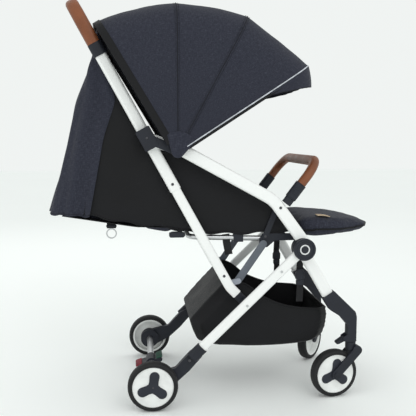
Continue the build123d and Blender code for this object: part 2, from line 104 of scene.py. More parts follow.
# ---- what a user would change ----
class StrollerSizes(bpy.types.PropertyGroup):
    piping: bpy.props.FloatProperty(
        name="Piping", description="Radius of the canopy's silver piping",
        default=0.0016, min=0.0005, max=0.004, unit="LENGTH")
    seam: bpy.props.FloatProperty(
        name="Seam", description="Radius of the rolled seams over the canopy's bows",
        default=0.0013, min=0.0005, max=0.004, unit="LENGTH")
    cloth: bpy.props.FloatProperty(
        name="Cloth", description="Thickness of the sewn cloth",
        default=0.0016, min=0.0005, max=0.004, unit="LENGTH")
    stitch: bpy.props.FloatProperty(
        name="Stitch", description="Length of one stitch in the leather grips",
        default=0.0045, min=0.002, max=0.01, unit="LENGTH")
    pad_swell: bpy.props.FloatProperty(
        name="Pad swell", description="How far the padding may swell its cover",
        default=0.009, min=0.0, max=0.02, unit="LENGTH")


class StrollerColours(bpy.types.PropertyGroup):
    weave_dark: bpy.props.FloatVectorProperty(
        name="Weave dark", description="Darker thread of the canopy's cloth",
        subtype="COLOR", default=(0.0225, 0.0240, 0.0350), min=0, max=1)
    weave_light: bpy.props.FloatVectorProperty(
        name="Weave light", description="Lighter thread of the canopy's cloth",
        subtype="COLOR", default=(0.056, 0.059, 0.080), min=0, max=1)
    nylon: bpy.props.FloatVectorProperty(
        name="Nylon", description="Cloth of the side panels and the basket",
        subtype="COLOR", default=(0.0045, 0.0046, 0.0056), min=0, max=1)
    leather: bpy.props.FloatVectorProperty(
        name="Leather", description="Cover of the handle and the bumper bar",
        subtype="COLOR", default=(0.215, 0.070, 0.028), min=0, max=1)
    paint: bpy.props.FloatVectorProperty(
        name="Paint", description="Paint of the frame's tubes",
        subtype="COLOR", default=(0.90, 0.91, 0.90), min=0, max=1)
    plastic: bpy.props.FloatVectorProperty(
        name="Plastic", description="Moulded sockets, brackets and forks",
        subtype="COLOR", default=(0.0155, 0.0175, 0.0245), min=0, max=1)


def sizes():
    return bpy.context.scene.stroller_sizes


def colours():
    return bpy.context.scene.stroller_colours


# ---- materials ----
class Shading:
    """One material being wired: add nodes, link them, and set the shader's sockets."""

    def __init__(self, name):
        self.material = bpy.data.materials.new(name)
        self.material.use_nodes = True
        self.tree = self.material.node_tree
        self.shader = self.tree.nodes["Principled BSDF"]
        self.places = self.add("ShaderNodeTexCoord")

    def add(self, kind, inputs=None, **settings):
        node = self.tree.nodes.new(kind)
        for key, value in settings.items():
            setattr(node, key, value)
        for key, value in (inputs or {}).items():
            self.feed(node.inputs[key], value)
        return node

    def feed(self, socket, value):
        if isinstance(value, bpy.types.NodeSocket):
            self.tree.links.new(value, socket)
        else:
            socket.default_value = value

    def set(self, **values):
        for key, value in values.items():
            self.feed(self.shader.inputs[key.replace("_", " ")], value)

    def scaled(self, scale, source="Object"):
        return self.add("ShaderNodeMapping",
                        {"Vector": self.places.outputs[source], "Scale": scale}).outputs["Vector"]

    def noise(self, scale, detail=3.0, stretch=(1, 1, 1), source="Object", rough=0.5):
        node = self.add("ShaderNodeTexNoise",
                        {"Vector": self.scaled(stretch, source), "Scale": scale,
                         "Detail": detail, "Roughness": rough})
        return node.outputs["Fac"]

    def sums(self, operation, first, second=0.5):
        return self.add("ShaderNodeMath", {0: first, 1: second}, operation=operation).outputs[0]

    def span(self, value, low, high, to_low, to_high):
        node = self.add("ShaderNodeMapRange", {"Value": value, "From Min": low, "From Max": high,
                                               "To Min": to_low, "To Max": to_high})
        return node.outputs["Result"]

    def ramp(self, value, *stops):
        node = self.add("ShaderNodeValToRGB", {"Fac": value})
        bar = node.color_ramp.elements
        while len(bar) < len(stops):
            bar.new(0.5)
        for element, (place, colour) in zip(bar, stops):
            element.position = place
            element.color = (*colour, 1)
        return node.outputs["Color"]

    def bump(self, height, strength, distance):
        node = self.add("ShaderNodeBump", {"Height": height, "Strength": strength,
                                           "Distance": distance})
        self.set(Normal=node.outputs["Normal"])


def tinted(colour, factor):
    return tuple(min(1.0, channel * factor) for channel in colour)


def weave(name, dark, light, source, pitch, streak):
    """A melange cloth: warp and weft waves for the bump, stretched noises for the flecks."""
    s = Shading(name)
    across = s.noise(streak, 4.0, (1, 6, 6) if source == "Object" else (1, 6, 1), source)
    down = s.noise(streak, 4.0, (6, 1, 1), source)
    broad = s.noise(streak / 40, 2.0, source=source)
    flecks = s.sums("ADD", s.sums("MULTIPLY", across, 0.45), s.sums("MULTIPLY", down, 0.45))
    mixed = s.sums("ADD", flecks, s.sums("MULTIPLY", broad, 0.12))
    s.set(Base_Color=s.ramp(mixed, (0.36, dark), (0.52, tinted(dark, 1.35)), (0.68, light)))
    waves = []
    for direction in ("X", "Y" if source == "UV" else "Z"):
        wave = s.add("ShaderNodeTexWave", {"Vector": s.scaled((1, 1, 1), source), "Scale": pitch,
                                           "Distortion": 0.6, "Detail": 1.0},
                     wave_type="BANDS", bands_direction=direction)
        waves.append(wave.outputs["Fac"])
    threads = s.sums("ADD", s.sums("MULTIPLY", waves[0], waves[1]), s.sums("MULTIPLY", across, 0.8))
    s.bump(threads, 0.55, 0.0006)
    s.set(Roughness=s.span(mixed, 0.3, 0.7, 0.95, 0.82), Sheen_Weight=0.06, Sheen_Roughness=0.5)
    s.set(Specular_IOR_Level=0.15)
    return s.material


def nylon(name, colour):
    """Thin coated cloth: a fine plain weave, long soft creases, a low sheen, and a painted sheen that makes
    the colour lighter on the creases' ridges.
    """
    s = Shading(name)
    crease_and_sheen = s.noise(9.0, 3.0, (1, 1, 1.8), rough=0.45)
    fine = s.noise(900.0, 2.0)
    # Painted sheen: the colour is lighter where the crease bump is high, on the creases' ridges.
    s.set(Base_Color=s.ramp(crease_and_sheen, (0.3, colour), (0.75, tinted(colour, 1.9))))
    s.set(Roughness=s.span(crease_and_sheen, 0.3, 0.7, 0.52, 0.68), Sheen_Weight=0.02, Sheen_Roughness=0.35)
    s.set(Specular_IOR_Level=0.22)
    s.bump(s.sums("ADD", s.sums("MULTIPLY", crease_and_sheen, 6.0), fine), 0.45, 0.0012)
    return s.material


def leather_cover(name, colour):
    """Smooth stretched hide: pores from small cells, slow colour drift, polished high spots."""
    s = Shading(name)
    drift = s.noise(18.0, 3.0)
    pores = s.add("ShaderNodeTexVoronoi", {"Vector": s.scaled((1, 1, 1)), "Scale": 900.0})
    wrinkle = s.noise(260.0, 4.0)
    s.set(Base_Color=s.ramp(drift, (0.3, tinted(colour, 0.8)), (0.55, colour),
                            (0.8, tinted(colour, 1.25))))
    s.set(Roughness=s.span(drift, 0.3, 0.7, 0.42, 0.56), Specular_IOR_Level=0.32, Coat_Weight=0.05,
          Coat_Roughness=0.4)
    s.bump(s.sums("ADD", pores.outputs["Distance"], wrinkle), 0.35, 0.0005)
    return s.material


def moulded(name, colour, roughness=0.46, grain=700.0, strength=0.25):
    """Spark-textured moulded plastic with slightly paler rubbed patches."""
    s = Shading(name)
    rub = s.noise(26.0, 4.0)
    s.set(Base_Color=s.ramp(rub, (0.35, colour), (0.8, tinted(colour, 1.3))))
    s.set(Roughness=s.span(rub, 0.3, 0.7, roughness, roughness + 0.12), Specular_IOR_Level=0.28)
    s.bump(s.noise(grain, 2.0), strength, 0.0004)
    return s.material


def painted(name, colour):
    """Powder coat: near-white, with a faint orange peel and softened gloss."""
    s = Shading(name)
    drift = s.noise(5.0, 2.0)
    s.set(Base_Color=s.ramp(drift, (0.3, tinted(colour, 0.985)), (0.7, colour)))
    s.set(Roughness=s.span(drift, 0.3, 0.7, 0.26, 0.34), Specular_IOR_Level=0.5, Coat_Weight=0.25,
          Coat_Roughness=0.18)
    s.bump(s.noise(420.0, 2.0), 0.06, 0.0003)
    return s.material


def metal(name, colour, roughness):
    """Drawn metal: fine lines along the part and small changes of polish."""
    s = Shading(name)
    lines = s.noise(300.0, 3.0, (0.15, 1, 1))
    s.set(Base_Color=s.ramp(lines, (0.3, tinted(colour, 0.8)), (0.7, colour)), Metallic=1.0)
    s.set(Roughness=s.span(lines, 0.3, 0.7, roughness, roughness + 0.15))
    s.bump(lines, 0.1, 0.0003)
    return s.material


def rubber(name, colour, roughness=0.62):
    s = Shading(name)
    dust = s.noise(60.0, 5.0)
    s.set(Base_Color=s.ramp(dust, (0.4, colour), (0.85, tinted(colour, 1.8))))
    s.set(Roughness=s.span(dust, 0.3, 0.7, roughness, roughness + 0.15), Specular_IOR_Level=0.35)
    s.bump(s.noise(800.0, 2.0), 0.2, 0.0004)
    return s.material


def webbing(name, colour):
    """Woven strap: close ribs across its length, with a painted highlight that makes the colour lighter on
    the ribs' tops.
    """
    s = Shading(name)
    rib = s.add("ShaderNodeTexWave", {"Vector": s.scaled((1, 1, 1)), "Scale": 160.0,
                                      "Distortion": 0.4}, bands_direction="DIAGONAL")
    # Painted highlight: the colour is lighter where the rib bump is high, on the ribs' tops.
    s.set(Base_Color=s.ramp(rib.outputs["Fac"], (0.2, colour), (0.9, tinted(colour, 2.4))))
    s.set(Roughness=0.8, Sheen_Weight=0.15, Specular_IOR_Level=0.25)
    s.bump(rib.outputs["Fac"], 0.5, 0.0006)
    return s.material


FINISHES = {
    "weave": lambda: weave("Melange weave", colours().weave_dark, colours().weave_light, "UV", 170.0,
                           95.0),
    "solid_weave": lambda: weave("Melange weave on pads", colours().weave_dark,
                                 colours().weave_light, "Object", 170.0, 95.0),
    "nylon": lambda: nylon("Black nylon", colours().nylon),
    "leather": lambda: leather_cover("Tan leather", colours().leather),
    "paint": lambda: painted("White powder coat", colours().paint),
    "plastic": lambda: moulded("Dark moulded plastic", colours().plastic),
    "slate": lambda: moulded("Slate inlay", tinted(colours().plastic, 1.35), 0.5),
    "wheel": lambda: moulded("Off-white wheel plastic", (0.74, 0.75, 0.74), 0.38, 500.0, 0.08),
    "hub": lambda: moulded("Hub face", tinted(colours().plastic, 1.1), 0.4),
    "emblem": lambda: moulded("Pale emblem", (0.62, 0.63, 0.64), 0.35, 500.0, 0.1),
    "tyre": lambda: rubber("Tyre rubber", (0.012, 0.012, 0.013)),
    "red": lambda: rubber("Red brake pad", (0.20, 0.022, 0.034), 0.6),
    "green": lambda: rubber("Green brake pad", (0.010, 0.055, 0.034), 0.6),
    "steel": lambda: metal("Drawn steel", (0.62, 0.63, 0.64), 0.3),
    "grey_metal": lambda: moulded("Grey enamel", (0.105, 0.118, 0.14), 0.36, 400.0, 0.1),
    "bracket": lambda: moulded("Light enamel bracket", (0.27, 0.29, 0.34), 0.36, 400.0, 0.1),
    "screw": lambda: metal("Dark screw", (0.10, 0.10, 0.11), 0.35),
    "piping": lambda: rubber("Silver piping", (0.46, 0.48, 0.52), 0.42),
    "webbing": lambda: webbing("Black webbing", (0.007, 0.007, 0.008)),
    "thread": lambda: rubber("Tan thread", tinted(colours().leather, 1.5), 0.6),
    "seam": lambda: rubber("Seam thread", tinted(colours().weave_dark, 0.5), 0.8),
    "tag": lambda: weave("Cream tag", (0.42, 0.32, 0.22), (0.62, 0.50, 0.36), "Object", 300.0, 300.0),
    "clip": lambda: moulded("White clip", (0.55, 0.56, 0.55), 0.35, 500.0, 0.1),
}
_made = {}


def finish(name):
    """The material of that name, made once."""
    if name not in _made:
        _made[name] = FINISHES[name]()
    return _made[name]


def paint_piece(piece, material_name):
    piece.data.materials.clear()
    piece.data.materials.append(finish(material_name))


# ---- modelling helpers ----
def only(piece):
    """Object mode, with one piece selected and active."""
    start()
    bpy.context.view_layer.objects.active = piece
    piece.select_set(True)


def mesh_area(piece):
    return sum(face.area for face in piece.data.polygons)


def start():
    """Object mode, with nothing selected."""
    if bpy.context.object and bpy.context.object.mode != "OBJECT":
        bpy.ops.object.mode_set(mode="OBJECT")
    bpy.ops.object.select_all(action="DESELECT")


def added(name):
    """The primitive that was just added, named and with its turn and place in its mesh."""
    piece = bpy.context.object
    piece.name = piece.data.name = name
    bpy.ops.object.transform_apply(location=True, rotation=True, scale=True)
    return piece


def edit(mode="VERT"):
    bpy.ops.object.mode_set(mode="EDIT")
    bpy.ops.mesh.select_mode(type=mode)


def modify(piece, kind, **settings):
    """Adds a modifier, sets it and applies it."""
    only(piece)
    modifier = piece.modifiers.new(kind.title(), kind)
    for key, value in settings.items():
        setattr(modifier, key, value)
    bpy.ops.object.modifier_apply(modifier=modifier.name)


def rounded(piece, width, segments=2, angle=35.0):
    modify(piece, "BEVEL", width=width, segments=segments, limit_method="ANGLE",
           angle_limit=math.radians(angle), harden_normals=False)


def smooth(piece, angle=40.0):
    only(piece)
    bpy.ops.object.shade_smooth_by_angle(angle=math.radians(angle))


def outward(piece):
    only(piece)
    edit()
    bpy.ops.mesh.select_all(action="SELECT")
    bpy.ops.mesh.remove_doubles(threshold=0.00001)
    bpy.ops.mesh.normals_make_consistent(inside=False)
    bpy.ops.object.mode_set(mode="OBJECT")


def joined(name, pieces):
    start()
    for piece in pieces:
        piece.select_set(True)
    bpy.context.view_layer.objects.active = pieces[0]
    bpy.ops.object.join()
    whole = bpy.context.object
    whole.name = whole.data.name = name
    return whole


def copied(piece, name, change):
    """A copy with its own mesh, moved by a matrix, its faces kept outwards."""
    twin = piece.copy()
    twin.data = piece.data.copy()
    twin.name = twin.data.name = name
    bpy.context.scene.collection.objects.link(twin)
    twin.data.transform(change)
    if change.determinant() < 0:
        twin.data.flip_normals()
    return twin


MIRROR_Y = Matrix.Scale(-1, 4, Vector((0, 1, 0)))


def placed(piece, body, material_name, replaced=()):
    """Finish, the CAD nodes that it stands for, and the body that it rides on."""
    paint_piece(piece, material_name)
    if replaced:
        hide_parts(*replaced)
    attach(piece, body)
    return piece


def dressed(node, material_name):
    """A CAD node that keeps its shape, with a real finish."""
    piece = frame["nodes"][node]
    piece.data.materials.clear()
    piece.data.materials.append(finish(material_name))
    return piece


def block(name, centre, size, turn=0.0):
    """A box turned about Y."""
    start()
    bpy.ops.mesh.primitive_cube_add(size=1, location=centre, rotation=(0, turn, 0))
    piece = bpy.context.object
    piece.scale = size
    return added(name)


def sheet_grid(name, columns, rows, place):
    """A grid laid on the surface that place(u, v) gives, with its UVs in metres along it."""
    start()
    bpy.ops.mesh.primitive_grid_add(x_subdivisions=columns, y_subdivisions=rows, size=1,
                                    calc_uvs=True)
    piece = added(name)
    mesh = piece.data
    spots = [(v.co.x + 0.5, v.co.y + 0.5) for v in mesh.vertices]
    for vertex, (u, v) in zip(mesh.vertices, spots):
        vertex.co = place(u, v)
    width = sum((place((i + 1) / 20, 0.5) - place(i / 20, 0.5)).length for i in range(20))
    length = sum((place(0.5, (i + 1) / 20) - place(0.5, i / 20)).length for i in range(20))
    for loop in mesh.uv_layers.active.data:
        loop.uv = (loop.uv.x * width, loop.uv.y * length)
    piece["flat_size"] = (width, length)
    return piece


def outward_sheet(piece):
    only(piece)
    edit()
    bpy.ops.mesh.select_all(action="SELECT")
    bpy.ops.mesh.normals_make_consistent(inside=False)
    bpy.ops.object.mode_set(mode="OBJECT")


def rolled(name, points, radius, closed=False, sides=8):
    """A thin round bead along points: piping, a rolled seam or wire."""
    curve = bpy.data.curves.new(name, "CURVE")
    curve.dimensions = "3D"
    line = curve.splines.new("POLY")
    line.points.add(len(points) - 1)
    for point, place in zip(line.points, points):
        point.co = (*place, 1)
    line.use_cyclic_u = closed
    curve.bevel_depth = radius
    curve.bevel_resolution = max(1, sides // 4)
    curve.use_fill_caps = True
    bead = bpy.data.objects.new(name, curve)
    bpy.context.scene.collection.objects.link(bead)
    only(bead)
    bpy.ops.object.convert(target="MESH")
    bpy.ops.object.shade_smooth()
    return bpy.context.object


def pull(points, share):
    """The point a share of the way along a polyline, by length."""
    lengths = [(b - a).length for a, b in zip(points, points[1:])]
    left = share * sum(lengths)
    for a, b, length in zip(points, points[1:], lengths):
        if left <= length:
            return a.lerp(b, left / length if length else 0)
        left -= length
    return points[-1].copy()


def eased(points, share):
    """As pull, on a line rounded through its points."""
    reach = 0.035
    near = [pull(points, min(1, max(0, share + reach * k / 2))) for k in (-2, -1, 0, 1, 2)]
    if share <= 0 or share >= 1:
        return pull(points, share)
    weights = (1, 2, 3, 2, 1)
    return sum((p * w for p, w in zip(near, weights)), Vector()) / sum(weights)


def turned(name, profile, steps=72):
    """A ring or disc turned about Y from a closed profile of (radius, y) points."""
    start()
    bpy.ops.mesh.primitive_circle_add(vertices=len(profile), radius=1, fill_type="NOTHING")
    piece = added(name)
    for vertex, (radius, y) in zip(piece.data.vertices, profile):
        vertex.co = (radius, y, 0)
    edit()
    bpy.ops.mesh.select_all(action="SELECT")
    bpy.ops.mesh.spin(steps=steps, angle=math.tau, center=(0, 0, 0), axis=(0, 1, 0))
    bpy.ops.object.mode_set(mode="OBJECT")
    outward(piece)
    return piece


def slab(name, points, low, high, edge=0.0):
    """An outline of (x, z) points made as thick as low and high in y are apart, edges rounded."""
    start()
    bpy.ops.mesh.primitive_circle_add(vertices=len(points), radius=1, fill_type="NGON")
    piece = added(name)
    for vertex, (x, z) in zip(piece.data.vertices, points):
        vertex.co = (x, low, z)
    edit("FACE")
    bpy.ops.mesh.select_all(action="SELECT")
    bpy.ops.mesh.extrude_region_move(TRANSFORM_OT_translate={"value": (0, high - low, 0)})
    bpy.ops.object.mode_set(mode="OBJECT")
    outward(piece)
    if edge:
        rounded(piece, edge, 3)
    smooth(piece)
    return piece


def arc(centre, radius, first, last, steps=10):
    """(x, z) points round a centre, angles in degrees from +x towards +z."""
    return [(centre[0] + radius * math.cos(math.radians(first + (last - first) * k / steps)),
             centre[1] + radius * math.sin(math.radians(first + (last - first) * k / steps)))
            for k in range(steps + 1)]


def strap_sheet(name, points, width, across, thickness=0.0016):
    """Webbing laid along points, its width along the across vector."""
    run = [Vector(p) for p in points]
    side = Vector(across).normalized() * width / 2
    piece = sheet_grid(name, 40, 4, lambda u, v: eased(run, u) + side * (2 * v - 1))
    flat = piece["flat_size"][:]
    modify(piece, "SOLIDIFY", thickness=thickness, offset=0.0)
    smooth(piece)
    paint_piece(piece, "webbing")
    return piece, flat


# ---- stage ----
class StrollerStage(bpy.types.Operator):
    """Pale floor, soft studio lights and the camera"""

    bl_idname = "stroller.stage"
    bl_label = "Stage"

    def execute(self, context):
        start()
        bpy.ops.mesh.primitive_plane_add(size=24, location=(0, 0, 0))
        floor = added("floor")
        s = Shading("Studio floor")
        s.set(Base_Color=s.ramp(s.noise(0.8, 2.0), (0.3, (0.965, 0.985, 0.975)),
                                (0.7, (0.975, 0.995, 0.985))),
              Roughness=0.9, Specular_IOR_Level=0.1)
        floor.data.materials.append(s.material)

        world = bpy.data.worlds.new("Studio")
        world.use_nodes = True
        world.node_tree.nodes["Background"].inputs["Color"].default_value = (0.97, 1.0, 0.985, 1)
        world.node_tree.nodes["Background"].inputs["Strength"].default_value = 0.90
        context.scene.world = world
        context.scene.view_settings.view_transform = "Standard"

        middle_up = Vector((0, 0, 0.5))
        for name, place, size, power in (("Key", (0.9, -2.6, 2.4), 1.6, 15),
                                         ("Fill", (-2.4, -1.6, 1.2), 2.0, 5),
                                         ("Rim", (-0.8, 2.4, 2.2), 1.6, 8)):
            start()
            bpy.ops.object.light_add(type="AREA", location=place)
            light = context.object
            light.name = name
            light.data.size, light.data.energy = size, power
            light.rotation_euler = (middle_up - light.location).to_track_quat("-Z", "Y").to_euler()

        start()
        bpy.ops.object.camera_add(location=(AXLE.x - 0.0341, -1.78944, 0.70027),
                                  rotation=(math.radians(90 - 6.32), 0, math.radians(-6.41)))
        camera = context.object
        camera.data.lens, camera.data.sensor_width = 54.69, 36
        context.scene.camera = camera
        return {"FINISHED"}


# ---- wheels ----
TYRE_R, RIM_R, WHEEL_HALF = 0.065, 0.053, 0.014


def trefoil(arm, end, neck, lean):
    """Outline of three arms with broad round ends and waisted flanks, from a first angle."""
    notch = neck / 2 / math.sin(math.radians(60))
    points = []
    for k in range(3):
        angle = math.radians(lean + 120 * k)
        out = Vector((math.cos(angle), math.sin(angle)))
        across = Vector((-out.y, out.x))
        before, after = (Vector((math.cos(angle + turn), math.sin(angle + turn))) * notch
                         for turn in (-math.pi / 3, math.pi / 3))
        points.append(tuple(before * 1.1))
        points.append(tuple(before + out * arm * 0.3 - across * 0.0002))
        points += [tuple(out * arm + Vector((math.cos(a), math.sin(a))) * end / 2)
                   for a in (angle - 1.75 + 3.5 * n / 14 for n in range(15))]
        points.append(tuple(after + out * arm * 0.3 + across * 0.0002))
    return points


def tyre_profile():
    """Round tread with two fine grooves, a sidewall line, and a bead on the rim."""
    side = WHEEL_HALF
    return [(RIM_R, -side + 0.001), (RIM_R + 0.0015, -side), (RIM_R + 0.0045, -side),
            (RIM_R + 0.0048, -side + 0.0006),
            (RIM_R + 0.0054, -side + 0.0006), (RIM_R + 0.0057, -side), (RIM_R + 0.0082, -side + 0.0008),
            (RIM_R + 0.0104, -side + 0.0034), (TYRE_R - 0.0004, -0.0072), (TYRE_R - 0.0001, -0.0048),
            (TYRE_R - 0.0011, -0.0043), (TYRE_R - 0.0001, -0.0038), (TYRE_R, 0.0),
            (TYRE_R - 0.0001, 0.0038),
            (TYRE_R - 0.0011, 0.0043), (TYRE_R - 0.0001, 0.0048), (TYRE_R - 0.0004, 0.0072),
            (RIM_R + 0.0104, side - 0.0034), (RIM_R + 0.0082, side - 0.0008), (RIM_R + 0.0057, side),
            (RIM_R + 0.0054, side - 0.0006), (RIM_R + 0.0048, side - 0.0006), (RIM_R + 0.0045, side),
            (RIM_R + 0.0015, side), (RIM_R, side - 0.001)]


class StrollerWheels(bpy.types.Operator):
    """Tyres with grooves, off-white discs with dark three-armed inlays, and axle caps"""

    bl_idname = "stroller.wheels"
    bl_label = "Wheels"

    def execute(self, context):
        tyre = turned("tyre", tyre_profile(), 96)
        smooth(tyre, 50)
        inlay = slab("inlay", trefoil(0.0290, 0.0260, 0.0235, 82), -WHEEL_HALF + 0.0002,
                     -WHEEL_HALF + 0.0022, 0.0007)
        rim_line = turned("rim_line", [(0.0485, -WHEEL_HALF + 0.0024), (0.0492, -WHEEL_HALF + 0.0012),
                                       (0.0512, -WHEEL_HALF + 0.0010), (0.0520, -WHEEL_HALF + 0.0024)])
        smooth(rim_line, 50)
        dot = turned("dot", [(0.0001, -WHEEL_HALF - 0.0002), (0.0021, -WHEEL_HALF - 0.0002),
                             (0.0026, -WHEEL_HALF + 0.0004), (0.0026, -WHEEL_HALF + 0.002),
                             (0.0001, -WHEEL_HALF + 0.002)], 24)
        for where in ("rear", "front"):
            for side, way in SIDES.items():
                body = f"{where}_wheel_{side}"
                spin = JOINTS[f"{where}_wheel_spin_{side}"]
                axis = Vector(spin["axis"])
                turn = math.atan2(-axis.x, axis.y) + (math.pi if way > 0 else 0)
                at = Matrix.Translation(Vector(spin["pos_m"])) @ Matrix.Rotation(turn, 4, "Z")
                placed(copied(tyre, f"tyre_{where}_{side}", at), body, "tyre",
                       (f"{where}_tyre_{side}",))
                placed(copied(inlay, f"inlay_{where}_{side}", at), body, "slate")
                placed(copied(rim_line, f"rim_line_{where}_{side}", at), body, "wheel")
                placed(copied(dot, f"axle_dot_{where}_{side}", at), body, "screw")
                dressed(f"{where}_disc_{side}", "wheel")
        for spare in (tyre, inlay, rim_line, dot):
            bpy.data.objects.remove(spare)
        return {"FINISHED"}


# ---- frame ----
PAINTED = ("armrest_tube_right", "armrest_tube_left", "rear_leg_right", "rear_leg_left",
           "front_leg_right", "front_leg_left", "upper_tubes", "lower_tubes")
PLASTIC = ("bumper_sockets", "rear_brackets", "front_brackets",
           "grip_sleeves", "handle_feet", "fold_button", "caster_fork_right", "caster_fork_left",
           "caster_lock_right", "caster_lock_left", "seat_brackets", "hanger_arms", "bumper_ends",
           "bumper_button_right", "bumper_button_left", "brake_pedal", "rail_clips",
           "canopy_bow_rear", "canopy_bow_1", "canopy_bow_2", "canopy_bow_front")


def oval_bar(name, first, last, wide, thick):
    """A bar of oval section between two points, its wide side in the frame's plane."""
    run = last - first
    flat = Vector((run.z, 0, -run.x)).normalized()
    start()
    bpy.ops.mesh.primitive_circle_add(vertices=36, radius=1, fill_type="NGON")
    piece = added(name)
    reach = (wide - thick) / 2
    for number, vertex in enumerate(piece.data.vertices):
        angle = math.tau * number / 36
        shift = reach if math.cos(angle) > 0 else -reach
        sideways = Vector((0, math.sin(angle) * thick / 2, 0))
        vertex.co = first + flat * (math.cos(angle) * thick / 2 + shift) + sideways
    edit("FACE")
    bpy.ops.mesh.select_all(action="SELECT")
    bpy.ops.mesh.extrude_region_move(TRANSFORM_OT_translate={"value": run})
    bpy.ops.object.mode_set(mode="OBJECT")
    outward(piece)
    smooth(piece, 50)
    return piece


def screw_head():
    """A low domed head with a socket."""
    head = turned("screw", [(0.0001, -0.0005), (0.0014, -0.0005), (0.0015, -0.0014), (0.0026, -0.0013),
                            (0.0036, -0.0006), (0.0038, 0.0006), (0.0001, 0.0006)], 24)
    smooth(head, 50)
    return head


SCREWS = (
    # body, x, z, distance out
    ("handle_upper", -0.0084, 0.7000, 0.1972),
    ("handle_upper", 0.0560, 0.5822, 0.1741),
    ("handle_lower", 0.1905, 0.3390, 0.1721),
    ("armrest_frame", 0.3350, 0.5200, 0.1925),
    ("hangers", 0.3030, 0.4400, 0.1554),
    ("links", 0.2300, 0.3220, 0.1554),
    ("seat_base", 0.3820, 0.4370, 0.1508),
    ("rear_frame", 0.0955, 0.1270, 0.2106),
    ("front_frame", 0.4960, 0.2380, 0.1762),
)


